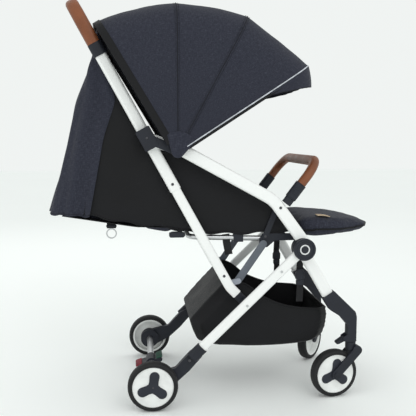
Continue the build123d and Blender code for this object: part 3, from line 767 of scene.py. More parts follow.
class StrollerFrame(bpy.types.Operator):
    """White tubes, dark sockets and brackets, the steel parts, and the screws"""

    bl_idname = "stroller.frame"
    bl_label = "Frame"

    def execute(self, context):
        for node in PAINTED:
            dressed(node, "paint")
        for node in PLASTIC:
            dressed(node, "plastic")
        for node in ("rear_axle", "seat_rails", "frame_rivets", "d_ring"):
            dressed(node, "steel")
        dressed("link_brackets", "bracket")
        head = screw_head()
        for number, (body, x, z, out) in enumerate(SCREWS):
            for side, way in SIDES.items():
                at = Matrix.Translation(spot(x, z, way * out))
                if way > 0:
                    at = at @ Matrix.Rotation(math.pi, 4, "Z")
                placed(copied(head, f"screw_{number}_{side}", at), body, "screw")
        bpy.data.objects.remove(head)
        self.hub_faces()
        self.armrest_ends()
        self.collars()
        self.links()
        self.brake_pads()
        return {"FINISHED"}

    def armrest_ends(self):
        """Round housings behind the hub caps, and the tubes' ends that run into them."""
        housing = turned("housing",
                         [(0.0001, -0.0100), (0.0255, -0.0100), (0.0270, -0.0085), (0.0270, 0.0085),
                                     (0.0255, 0.0100), (0.0001, 0.0100)])
        smooth(housing, 40)
        pin = turned("pin",
                     [(0.0001, -0.0135), (0.0036, -0.0135), (0.0040, -0.0130), (0.0040, 0.0135),
                      (0.0001, 0.0135)], 32)
        for side, way in SIDES.items():
            middle_y = way * 0.1845
            at = Matrix.Translation((HUB.x, middle_y, HUB.z))
            placed(copied(housing, f"hub_housing_{side}", at), "armrest_frame", "plastic",
                   ("armrest_sleeves",))
            hanger = joint_place("hanger_swing")
            placed(copied(pin, f"hanger_pin_{side}",
                          Matrix.Translation((hanger.x, way * 0.164, hanger.z))),
                   "armrest_frame", "plastic")
            tail = oval_bar(f"armrest_end_{side}", spot(0.3845, 0.4495, middle_y),
                            spot(0.4040, 0.4232, middle_y),
                            0.0322, 0.0152)
            placed(tail, "armrest_frame", "paint")
        for spare in (housing, pin):
            bpy.data.objects.remove(spare)

    def collars(self):
        """Boxed sockets that hold the armrests to the handle, and the canopy's arms."""
        down = -HANDLE_UP
        back = -HANDLE_OUT

        def local(across, along):
            at = HANDLE_PIVOT + back * across + down * along
            return (at.x, at.z)

        outline = [local(*p) for p in ((-0.018, -0.026), (0.018, -0.026), (0.0195, -0.023),
                                       (0.0195, 0.027),
                                       (0.018, 0.030), (-0.018, 0.030), (-0.0195, 0.027),
                                       (-0.0195, -0.023))]
        web = [local(*p) for p in ((0.0172, -0.023), (0.0194, -0.023), (0.0194, 0.027), (0.0172, 0.027))]
        way_on = (CANOPY_HINGE - HANDLE_PIVOT)
        lean = math.degrees(math.atan2(way_on.z, way_on.x))
        arm = arc((CANOPY_HINGE.x, CANOPY_HINGE.z), 0.012, lean - 90, lean + 90) + \
            arc((HANDLE_PIVOT.x, HANDLE_PIVOT.z), 0.012, lean + 90, lean + 270)
        for side, way in SIDES.items():
            pieces = [slab("part", points, min(way * a, way * b), max(way * a, way * b), edge)
                      for points, a, b,
                      edge in ((outline, 0.1557, 0.1765, 0.002), (outline, 0.1932, 0.1972, 0.0016),
                                                 (web, 0.1740, 0.1950, 0.0004),
                               (arm, 0.1936, 0.1966, 0.001))]
            collar = joined(f"handle_collar_{side}", pieces)
            placed(collar, "handle_upper", "plastic", ("handle_collars",))

    def links(self):
        """Flat enamelled bars between the seat and the handle's lower tubes."""
        top, foot = joint_place("link_swing"), spot(0.230, 0.322)
        run = top - foot
        lean = math.degrees(math.atan2(run.z, run.x))
        outline = arc((top.x, top.z), 0.0100, lean - 90, lean + 90) + arc((foot.x, foot.z), 0.0100,
                                                                          lean + 90, lean + 270)
        for side, way in SIDES.items():
            link = slab(f"seat_link_{side}", outline, min(way * 0.151, way * 0.155),
                        max(way * 0.151, way * 0.155), 0.001)
            placed(link, "links", "grey_metal", ("seat_links",))

    def hub_faces(self):
        """Dished caps with a plain pale ring over the folding pivots."""
        profile = [(0.0001, -0.0048), (0.0075, -0.0048), (0.0082, -0.0055), (0.0148, -0.0055),
                   (0.0156, -0.0048),
                   (0.0225, -0.0050), (0.0240, -0.0074), (0.0276, -0.0078), (0.0290, -0.0062),
                   (0.0290, 0.0002),
                   (0.0001, 0.0002)]
        cap = turned("cap", profile)
        smooth(cap, 40)
        ring = turned("ring", [(0.0098, -0.0057), (0.0104, -0.0062), (0.0126, -0.0062), (0.0132, -0.0057),
                               (0.0115, -0.0050)])
        smooth(ring, 40)
        for side, way in SIDES.items():
            at = Matrix.Translation((HUB.x, way * 0.211, HUB.z))
            if way > 0:
                at = at @ Matrix.Rotation(math.pi, 4, "Z")
            placed(copied(cap, f"hub_cap_{side}", at), "armrest_frame", "hub",
                   ("hub_caps",))
            placed(copied(ring, f"hub_ring_{side}", at), "armrest_frame", "emblem")
        for spare in (cap, ring):
            bpy.data.objects.remove(spare)

    def brake_pads(self):
        """Ribbed rubber on both ends of the rocker: green to the front, red to the back."""
        low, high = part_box("brake_pads")
        wide = (low.y + high.y) / 2
        tilt = -math.atan2(0.021, 0.058)
        for name, x, z, colour in (("front", 0.0225, 0.0810, "green"), ("rear", -0.0355, 0.0600, "red")):
            pieces = [block("pad", (0, 0, 0), (0.018, high.y - low.y, 0.0035))]
            for k in range(5):
                pieces.append(block("rib", ((k - 2) * 0.0035, 0, 0.0022),
                                    (0.0016, (high.y - low.y) * 0.86, 0.0016)))
            pad = joined(f"brake_pad_{name}", pieces)
            rounded(pad, 0.0006, 2)
            pad.data.transform(Matrix.Translation(spot(x, z, wide)) @ Matrix.Rotation(tilt, 4, "Y"))
            smooth(pad)
            placed(pad, "brake", colour, ("brake_pads",))


# ---- leather ----
def stitch_row(name, points, body):
    """Short raised stitches along a seam."""
    step = sizes().stitch
    length = sum((b - a).length for a, b in zip(points, points[1:]))
    stitches = []
    for k in range(int(length / step)):
        ends = [pull(points, (k * step + part) / length) for part in (0.0006, step * 0.68)]
        stitches.append(rolled("stitch", [ends[0], ends[0].lerp(ends[1], 0.5), ends[1]], 0.00055,
                               sides=4))
    row = joined(name, stitches)
    return placed(row, body, "thread")


def round_corners(points, radius, steps=8):
    """The points of a 3D polyline with each inner corner replaced by an arc."""
    run = [Vector(p) for p in points]
    smooth_run = [run[0]]
    for before, corner, after in zip(run, run[1:], run[2:]):
        into, out = (before - corner).normalized(), (after - corner).normalized()
        angle = into.angle(out)
        cut = min(radius / math.tan(angle / 2), (before - corner).length * 0.5,
                  (after - corner).length * 0.5)
        first, last = corner + into * cut, corner + out * cut
        for k in range(steps + 1):
            t = k / steps
            smooth_run.append(first * (1 - t) ** 2 + corner * 2 * t * (1 - t) + last * t ** 2)
    smooth_run.append(run[-1])
    return smooth_run


class StrollerGrips(bpy.types.Operator):
    """Leather on the handle and the bumper bar, with a stitched seam on the inner side"""

    bl_idname = "stroller.grips"
    bl_label = "Grips"

    def execute(self, context):
        dressed("handle_grip", "leather")
        dressed("bumper_grip", "leather")
        top = spot(0.0644, 0.567) + HANDLE_UP * 0.535
        low = spot(0.0644, 0.567) + HANDLE_UP * 0.425
        seam = [low + Vector((0, -0.166 + 0.0169, 0)), top + Vector((0, -0.166 + 0.0169, 0)),
                top + Vector((0, 0.166 - 0.0169, 0)), low + Vector((0, 0.166 - 0.0169, 0))]
        seam[1] -= HANDLE_UP * 0.0169
        seam[2] -= HANDLE_UP * 0.0169
        stitch_row("handle_stitches", round_corners(seam, 0.04), "handle_upper")
        foot, peak = spot(0.352, 0.532), spot(0.435, 0.640)
        up = (peak - foot).normalized()
        start_at = foot + up * 0.066
        line = [start_at + Vector((0, -0.185 + 0.0142, 0)),
                peak - up * 0.0142 + Vector((0, -0.185 + 0.0142, 0)),
                peak - up * 0.0142 + Vector((0, 0.185 - 0.0142, 0)),
                start_at + Vector((0, 0.185 - 0.0142, 0))]
        stitch_row("bumper_stitches", round_corners(line, 0.038), "bumper")
        return {"FINISHED"}


# ---- canopy ----
BOWS = (("rear", 121.0, 0.387), ("first", 90.0, 0.381), ("second", 61.7, 0.398), ("front", 33.0, 0.418))
HALF_WIDTH, CORNER, CROWN, HINGE_GAP, SKIN = 0.2135, 0.095, 0.020, 0.026, 0.006
ACROSS = 64


def bow_line(angle, radius, half=HALF_WIDTH, inner=HINGE_GAP):
    """The cloth's line over one bow, from the right side over the crown to the left."""
    reach = Vector((math.cos(math.radians(angle)), 0, math.sin(math.radians(angle))))
    side = Vector((0, half, 0))
    shoulder = radius - CROWN
    points = [CANOPY_HINGE - side + reach * inner, CANOPY_HINGE - side + reach * shoulder,
              CANOPY_HINGE + reach * radius, CANOPY_HINGE + side + reach * shoulder,
              CANOPY_HINGE + side + reach * inner]
    line = round_corners(points, CORNER, 12)
    return [pull(line, k / ACROSS) for k in range(ACROSS + 1)]


def bow_lines():
    return {name: bow_line(angle, radius + SKIN) for name, angle, radius in BOWS}


def outward_at(point):
    """Away from the inside of the canopy."""
    core = CANOPY_HINGE + Vector((0, point.y * 0.35, 0))
    away = point - core
    away.y *= 1.4
    return away.normalized()


class StrollerCanopy(bpy.types.Operator):
    """One curved shell of cloth over four bows, sewn at the middle two, piped at the front"""

    bl_idname = "stroller.canopy"
    bl_label = "Canopy"

    def execute(self, context):
        lines = bow_lines()
        bodies = {"rear": "handle_upper", "first": "bow_1", "second": "bow_2", "front": "bow_front"}
        names = [name for name, _, _ in BOWS]
        angles = {name: math.radians(angle) for name, angle, _ in BOWS}
        for number, (near, far) in enumerate(zip(names, names[1:])):
            self.gore(number, near, far, lines, bodies)
        for name in ("first", "second"):
            line = [p + outward_at(p) * 0.0006 for p in lines[name]]
            seam = rolled(f"canopy_seam_{name}", line, sizes().seam)
            placed(seam, bodies[name], "seam")
            across = Vector((math.sin(angles[name]), 0, -math.cos(angles[name])))
            wings = [[p + outward_at(p) * 0.0008 + across * off for p in lines[name]] for off in (-0.005,
                                                                                                  0.005)]
            stitched = joined(f"canopy_topstitch_{name}",
                              [rolled("line", wing, 0.0004, sides=4) for wing in wings])
            placed(stitched, bodies[name], "seam")
        self.edges(lines)
        self.corners()
        return {"FINISHED"}

    def corners(self):
        """Sewn corners that close the cloth round the hinges."""
        at = (CANOPY_HINGE.x, CANOPY_HINGE.z)
        outline = arc(at, 0.050, 30, 124, 12) + arc(at, 0.0165, 205, 309, 12)
        for side, way in SIDES.items():
            corner = slab(f"canopy_corner_{side}", outline, min(way * 0.2136, way * 0.2156),
                          max(way * 0.2136, way * 0.2156), 0.0009)
            placed(corner, "handle_upper", "solid_weave")

    def gore(self, number, near, far, lines, bodies):
        first, last = lines[near], lines[far]

        def place(u, v):
            k = min(ACROSS, max(0, round(v * ACROSS)))
            point = first[k].lerp(last[k], u)
            slack = 4 * u * (1 - u)
            edge = min(1.0, 6 * min(v, 1 - v))
            point = point + outward_at(point) * ((0.0085, 0.0055, 0.0015)[number] * slack * edge)
            ripple = noise.noise(Vector((point.x * 14, point.y * 9, point.z * 14)))
            folds = noise.noise(Vector((u * 5.0, v * 26.0, 3.7 + number)))
            return point + outward_at(point) * slack * (0.0022 * ripple + 0.0012 * folds)

        piece = sheet_grid(f"canopy_{number + 1}_{near}_to_{far}", 24, ACROSS, place)
        flat = piece["flat_size"][:]
        outward_sheet(piece)
        modify(piece, "SOLIDIFY", thickness=sizes().cloth, offset=-1.0)
        smooth(piece, 60)
        paint_piece(piece, "weave")
        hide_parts("canopy_fabric")
        widest = max(flat[0], max((a - b).length for a, b in zip(first, last)))
        f"canopy_bow_{self.node(near)}"
        f"canopy_bow_{self.node(far)}"
        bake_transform(piece)

    @staticmethod
    def node(name):
        return {"rear": "rear", "first": "1", "second": "2", "front": "front"}[name]

    def edges(self, lines):
        """Silver piping and a black hem under it at the front; black binding at the back."""
        front = [p + outward_at(p) * 0.0010 for p in lines["front"]]
        ahead = Vector((math.sin(math.radians(33)), 0, -math.cos(math.radians(33))))
        piping = rolled("canopy_piping", [p + ahead * 0.0022 for p in front], sizes().piping)
        placed(piping, "bow_front", "piping")
        hem = self.band("canopy_front_hem", lines["front"], ahead, 0.0, 0.011, -0.0012)
        placed(hem, "bow_front", "nylon")
        behind = Vector((-math.sin(math.radians(121)), 0, math.cos(math.radians(121))))
        binding = self.band("canopy_rear_binding", lines["rear"], behind, -0.004, 0.013, 0.0012)
        placed(binding, "handle_upper", "nylon")
        edge = rolled("canopy_rear_bead", [p + behind * 0.013 for p in lines["rear"]], 0.0022)
        placed(edge, "handle_upper", "nylon")

    def band(self, name, line, way, first, last, out):
        def place(u, v):
            k = min(ACROSS, max(0, round(v * ACROSS)))
            return line[k] + way * (first + (last - first) * u) + outward_at(line[k]) * out
        piece = sheet_grid(name, 3, ACROSS, place)
        modify(piece, "SOLIDIFY", thickness=0.0018, offset=0.0)
        smooth(piece, 60)
        return piece


class StrollerVisor(bpy.types.Operator):
    """Sun visor: a crescent of cloth that hangs from the canopy's front edge"""

    bl_idname = "stroller.visor"
    bl_label = "Sun visor"

    def execute(self, context):
        ahead = Vector((math.sin(math.radians(33)), 0, -math.cos(math.radians(33))))
        line = [p + ahead * 0.0042 for p in bow_line(33.0, 0.418 + SKIN + 0.0008, HALF_WIDTH + 0.0008)]
        reach = Vector((math.cos(math.radians(33)), 0, math.sin(math.radians(33))))
        first = 0.262
        start_at = next(k for k, p in enumerate(line) if (p - CANOPY_HINGE).dot(reach) > first)
        span = line[start_at:ACROSS - start_at + 1]
        drop = Vector((0.16, 0, -0.987))

        def place(u, v):
            top = pull(span, v)
            along = (top - CANOPY_HINGE).dot(reach)
            deep = 0.054 * min(1.0, max(0.0, (along - first) / 0.150))
            sway = 0.0018 * math.sin(v * math.pi * 22 + 0.6) * u
            inward = Vector((0, -top.y * 0.02 * u, 0))
            return top + drop * (deep * u) + inward + Vector((sway, 0, 0)) + Vector((0.010 * u * (1 - u),
                                                                                     0, 0))

        piece = sheet_grid("sun_visor_cloth", 10, 96, place)
        modify(piece, "SOLIDIFY", thickness=0.002, offset=0.0)
        smooth(piece, 60)
        hem = rolled("sun_visor_hem", [place(1.0, k / 96) for k in range(97)], 0.0015)
        paint_piece(hem, "seam")
        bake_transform(hem)
        paint_piece(piece, "weave")
        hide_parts("sun_visor")
        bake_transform(piece)
        return {"FINISHED"}


class StrollerRearFlap(bpy.types.Operator):
    """Cloth that hangs behind the backrest in loose pleats"""

    bl_idname = "stroller.rear_flap"
    bl_label = "Rear flap"

    def execute(self, context):
        back = [spot(-0.130, 0.992), spot(-0.140, 0.908), spot(-0.187, 0.790), spot(-0.209, 0.686),
                spot(-0.262, 0.503)]
        front = [spot(-0.118, 0.985), spot(-0.114, 0.905), spot(-0.086, 0.796), spot(-0.118, 0.700),
                 spot(-0.155, 0.498)]

        def place(u, v):
            rear, fore = eased(back, v), eased(front, v)
            half = 0.150 - 0.050 * max(0.0, 1 - v / 0.16) ** 2
            corner = min(0.045, (fore - rear).length * 0.5)
            ring = round_corners([fore + Vector((0, -half, 0)), rear + Vector((0, -half, 0)),
                                  rear + Vector((0, half, 0)), fore + Vector((0, half, 0))], corner, 6)
            point = pull(ring, u)
            outward_way = Vector((-0.35,
                                  math.copysign(1,
                                                point.y) if abs(point.y) > half * 0.97 else point.y * 2,
                                  0)).normalized()
            deep = 0.0022 + 0.0088 * v
            pleat = math.sin(u * 46 + 2.2 * math.sin(u * 9) + v * 1.4) * 0.6
            pleat += noise.noise(Vector((u * 22, v * 2.2, 1.3)))
            hem = 0.008 * noise.noise(Vector((u * 16, 0.4, 7.1))) * v ** 6
            return point + outward_way * deep * pleat + Vector((0, 0, hem))

        piece = sheet_grid("rear_flap_cloth", 150, 56, place)
        flat, area = piece["flat_size"][:], mesh_area(piece)
        modify(piece, "SOLIDIFY", thickness=sizes().cloth, offset=0.0)
        smooth(piece, 70)
        placed(piece, "handle_upper", "weave", ("rear_flap",))
        hem = rolled("rear_flap_hem", [place(k / 150, 0.997) for k in range(151)], 0.0014)
        placed(hem, "handle_upper", "seam")
        for soft in (piece, hem):
            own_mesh(soft)
        wide = max(flat[0], area / flat[1])
        return {"FINISHED"}


# ---- side panels ----
class StrollerSidePanels(bpy.types.Operator):
    """Black nylon between the handle, the armrest and the seat on both sides"""

    bl_idname = "stroller.side_panels"
    bl_label = "Side panels"

    def execute(self, context):
        bottom = [spot(-0.172, 0.504), spot(-0.060, 0.480), spot(0.050, 0.465), spot(0.110, 0.455),
                  spot(0.200, 0.449),
                  spot(0.296, 0.450), spot(0.388, 0.452)]
        top = [spot(-0.112, 0.888), spot(-0.100, 0.876), spot(-0.002, 0.706), spot(0.084, 0.680),
               spot(0.200, 0.615),
               spot(0.306, 0.556), spot(0.330, 0.530), spot(0.386, 0.470)]
        left = [bottom[0], spot(-0.138, 0.700), spot(-0.106, 0.800), top[0]]
        right = [bottom[-1], spot(0.388, 0.461), top[-1]]

        def place(u, v):
            lower, upper = pull(bottom, u), pull(top, u)
            rear, fore = pull(left, v), pull(right, v)
            flat = lower.lerp(upper, v) + rear.lerp(fore, u)
            flat -= (bottom[0].lerp(bottom[-1], u)).lerp(top[0].lerp(top[-1], u), v)
            edge = min(1.0, 5 * min(u, 1 - u)) * min(1.0, 5 * min(v, 1 - v))
            folds = noise.noise(Vector((flat.x * 7 - flat.z * 5, flat.z * 2.5 + flat.x * 2, 0.7)))
            fine = noise.noise(Vector((flat.x * 34 + flat.z * 18, flat.z * 8, 2.9)))
            wave = 0.0035 * math.sin(u * 40) * max(0.0, 1 - v * 9)
            flat.y = -0.1475 - edge * (0.0015 + 0.0035 * folds + 0.0009 * fine)
            flat.z += wave
            return flat

        panel = sheet_grid("panel", 96, 60, place)
        modify(panel, "SOLIDIFY", thickness=0.0014, offset=0.0)
        hem = rolled("hem", [place(k / 96, 0.004) for k in range(97)], 0.0026)
        whole = joined("panel", [panel, hem])
        zones = []
        for zone, keep_front in (("rear", False), ("front", True)):
            part = copied(whole, f"side_panels_{zone}", Matrix.Identity(4))
            only(part)
            edit()
            bpy.ops.mesh.select_all(action="SELECT")
            bpy.ops.mesh.bisect(plane_co=HANDLE_PIVOT, plane_no=HANDLE_OUT, use_fill=True,
                                clear_inner=keep_front, clear_outer=not keep_front)
            bpy.ops.object.mode_set(mode="OBJECT")
            twin = copied(part, "twin", MIRROR_Y)
            part = joined(f"side_panels_{zone}", [part, twin])
            smooth(part, 60)
            zones.append(part)
        bpy.data.objects.remove(whole)
        rear, front = zones
        placed(rear, "handle_upper", "nylon", ("side_panels",))
        placed(front, "armrest_frame", "nylon", ("side_panels",))
        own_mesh(rear)
        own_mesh(front)
        return {"FINISHED"}


# ---- padded seat ----
def plump(name, node, shrink, voxel, swell, squeeze=None):
    """A CAD pad's shape swelled from inside by cloth, held to a few millimetres."""
    source = frame["nodes"][node]
    piece = source.copy()
    piece.data = source.data.copy()
    piece.name = piece.data.name = name
    for key in list(piece.keys()):
        if key.startswith("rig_"):
            del piece[key]
    piece.parent = None
    piece.hide_render = False
    bpy.context.scene.collection.objects.link(piece)
    outward(piece)
    low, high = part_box(node)
    centre, size = (low + high) / 2, high - low
    for vertex in piece.data.vertices:
        for axis in range(3):
            vertex.co[axis] = centre[axis] + (vertex.co[axis] - centre[axis]) * (1 - 2 * shrink / size[axis])
    modify(piece, "REMESH", mode="VOXEL", voxel_size=voxel, adaptivity=0)
    rest = [v.co.copy() for v in piece.data.vertices]
    only(piece)
    cloth = piece.modifiers.new("Cloth", "CLOTH")
    cloth.settings.use_pressure = True
    cloth.settings.uniform_pressure_force = 4
    cloth.settings.effector_weights.gravity = 0
    cloth.settings.quality = 4
    cloth.collision_settings.use_collision = False
    for number in range(1, 21):
        bpy.context.scene.frame_set(number)
    bpy.ops.object.modifier_apply(modifier=cloth.name)
    bpy.context.scene.frame_set(1)
    for vertex, was in zip(piece.data.vertices, rest):
        move = vertex.co - was
        if move.length > swell:
            vertex.co = was + move.normalized() * swell
        if squeeze:
            vertex.co = squeeze(vertex.co.copy())
    modify(piece, "SMOOTH", factor=0.5, iterations=4)
    modify(piece, "SUBSURF", levels=1, render_levels=1)
    smooth(piece, 80)
    return piece


def channel(value, places, width):
    """How deep a sewn channel is at a value: 1 in its middle, 0 beside it."""
    return max([0.0] + [math.exp(-((value - place) / width) ** 2) for place in places])


class StrollerSeat(bpy.types.Operator):
    """Padded seat cushion and backrest with sewn channels, and the legrest with a welt round its edge"""

    bl_idname = "stroller.seat"
    bl_label = "Seat"

    def execute(self, context):
        swell = sizes().pad_swell
        low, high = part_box("seat_cushion")

        def seat_channels(co):
            if co.z > (low.z + high.z) / 2:
                co.z -= 0.006 * channel(co.x, (low.x + 0.09, low.x + 0.178), 0.005)
                co.z -= 0.005 * channel(abs(co.y), (0.088,), 0.005)
            return co

        cushion = plump("seat_cushion_pad", "seat_cushion", 0.006, 0.005, swell, seat_channels)
        placed(cushion, "seat_base", "solid_weave", ("seat_cushion",))

        foot, head = spot(0.064, 0.482), spot(-0.236, 0.531)
        up = (head - foot).normalized()
        face = Vector((-up.z, 0, up.x))

        def back_channels(co):
            along = (co - foot).dot(up)
            if (co - foot).dot(face) > -0.017:
                co -= face * 0.006 * channel(along, (0.075, 0.155, 0.235), 0.005)
                co -= face * 0.005 * channel(abs(co.y), (0.088,), 0.005)
            return co

        back = plump("backrest_cushion", "backrest_pad", 0.006, 0.005, swell, back_channels)
        placed(back, "backrest", "solid_weave", ("backrest_pad",))

        leg = plump("legrest_cushion", "legrest_pad", 0.004, 0.005, 0.006)
        placed(leg, "legrest", "solid_weave", ("legrest_pad",))
        self.legrest_trim(leg)
        self.linings()
        return {"FINISHED"}

    def linings(self):
        """Cloth under the pads, which closes the gaps at the folds and along the sides."""
        low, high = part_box("seat_cushion")
        hinge, tilt = joint_place("backrest_recline"), joint_place("legrest_tilt")
        foot, head = spot(0.064, 0.482), spot(-0.236, 0.531)
        up = (head - foot).normalized()
        behind = Vector((-up.z, 0, up.x)) * 0.028
        level = low.z + 0.004
        back_line = [Vector((low.x + 0.10, 0, level)), Vector((low.x + 0.02, 0, level - 0.001)),
                     foot + behind * 0.6 + up * 0.012, foot + behind + up * 0.10,
                     foot + behind + up * 0.29]
        front_line = [Vector((high.x - 0.10, 0, level)), Vector((high.x - 0.02, 0, level)),
                      Vector((tilt.x + 0.035, 0, level + 0.002)),
                      Vector((tilt.x + 0.060, 0, level + 0.003))]
        for name, line, half, other, start_at, end_at in (
                ("back", back_line, 0.152, "backrest", hinge + Vector((0.02, 0, 0)),
                 hinge - Vector((0.04, 0, 0))),
                ("front", front_line, 0.149, "legrest", tilt - Vector((0.02, 0, 0)),
                 tilt + Vector((0.02, 0, 0)))):
            lining = sheet_grid(f"seat_lining_{name}", 40, 40, lambda u, v: eased(line, u) + Vector(
                (0, half * (2 * v - 1), -0.002 * math.sin(math.pi * v) * math.sin(math.pi * u))))
            modify(lining, "SOLIDIFY", thickness=0.0012, offset=0.0)
            smooth(lining, 60)
            paint_piece(lining, "nylon")
            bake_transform(lining)
            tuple(start_at)
            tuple(end_at)

    def legrest_trim(self, leg):
        """A black welt round the pad's edge and a plain cream tag on top."""
        outline = [spot(0.396, 0.452, -0.150), spot(0.470, 0.451, -0.151), spot(0.524, 0.453, -0.149),
                   spot(0.578, 0.456, -0.126), spot(0.606, 0.459, -0.104), spot(0.628, 0.460, -0.050),
                   spot(0.631, 0.460, 0.0)]
        outline += [Vector((p.x, -p.y, p.z)) for p in reversed(outline[:-1])]
        tree = KDTree(len(leg.data.vertices))
        for number, vertex in enumerate(leg.data.vertices):
            tree.insert(vertex.co, number)
        tree.balance()
        line = [eased(outline, k / 120) for k in range(121)]
        line = [point.lerp(tree.find(point)[0], 0.9) for point in line]
        welt = rolled("legrest_welt", line, 0.0026)
        placed(welt, "legrest", "nylon")
        tag = sheet_grid("legrest_tag", 12, 8, lambda u, v: spot(
            0.452 + 0.034 * u, 0.4912 - 0.0035 * u + 0.0015 * math.sin(math.pi * u), -0.132 + 0.030 * v))
        modify(tag, "SOLIDIFY", thickness=0.0014, offset=0.0)
        placed(tag, "legrest", "tag")


# ---- basket ----
class StrollerBasket(bpy.types.Operator):
    """Open basket of black nylon that sags between the frame's tubes"""

    bl_idname = "stroller.basket"
    bl_label = "Basket"

    def execute(self, context):
        rear = [spot(0.208, 0.322), spot(0.150, 0.262), spot(0.103, 0.208), spot(0.112, 0.180),
                spot(0.126, 0.150),
                spot(0.160, 0.142)]
        fore = [spot(0.482, 0.232), spot(0.486, 0.212), spot(0.482, 0.180), spot(0.474, 0.158),
                spot(0.462, 0.147),
                spot(0.440, 0.141)]
        turn = 160
        wall = 0.78

        def ring_point(u, v):
            depth = min(1.0, v / wall)
            back, front = eased(rear, depth), eased(fore, depth)
            half = 0.147 - 0.010 * max(0.0, depth - 0.75) / 0.25
            corner = 0.028
            ring = [Vector((back.x + corner, -half)), Vector((front.x - corner, -half)),
                    Vector((front.x, -half + corner)),
                    Vector((front.x, half - corner)), Vector((front.x - corner, half)),
                    Vector((back.x + corner, half)),
                    Vector((back.x, half - corner)), Vector((back.x, -half + corner)),
                    Vector((back.x + corner, -half))]
            at = pull(ring, u % 1.0)
            share = min(1.0, max(0.0, (at.x - back.x) / (front.x - back.x)))
            z = back.z + (front.z - back.z) * share
            z -= (0.022 * (1 - depth) + 0.007 * depth) * math.sin(math.pi * share) ** 1.4
            if share < 0.3:
                z += 0.010 * (1 - depth) * math.sin(math.pi * share / 0.3)
            point = Vector((at.x, at.y, z))
            bulge = 0.0045 * math.sin(math.pi * depth) * math.sin(math.pi * min(1, max(0, share)))
            folds = noise.noise(Vector((point.x * 9 - point.z * 6, point.z * 5 + point.x * 2,
                                        math.copysign(3, point.y))))
            fine = noise.noise(Vector((point.x * 30, point.z * 12, point.y * 9 + 4)))
            side = math.copysign(1, at.y) if abs(at.y) > half * 0.97 else 0
            point.y += side * (bulge * 0.3 + 0.0028 * folds + 0.001 * fine - 0.0025)
            point.z -= 0.0022 * folds
            if v > wall:
                inner = (v - wall) / (1 - wall)
                centre = Vector(((back.x + front.x) / 2, 0, 0.139))
                z_floor = point.z + 0.0025 * noise.noise(Vector((point.x * 8, point.y * 8, inner * 3)))
                point = Vector((point.x, point.y, z_floor)).lerp(centre, min(0.985, inner))
            return point

        piece = sheet_grid("basket_shell", turn, 52, ring_point)
        outward(piece)
        modify(piece, "SOLIDIFY", thickness=0.0016, offset=-1.0)
        smooth(piece, 60)
        rim = rolled("basket_rim", [ring_point(k / turn, 0.0) for k in range(turn)], 0.0026, closed=True)
        placed(piece, "rear_frame", "nylon", ("basket",))
        placed(rim, "rear_frame", "nylon")
        for soft in (piece, rim):
            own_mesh(soft)
        return {"FINISHED"}


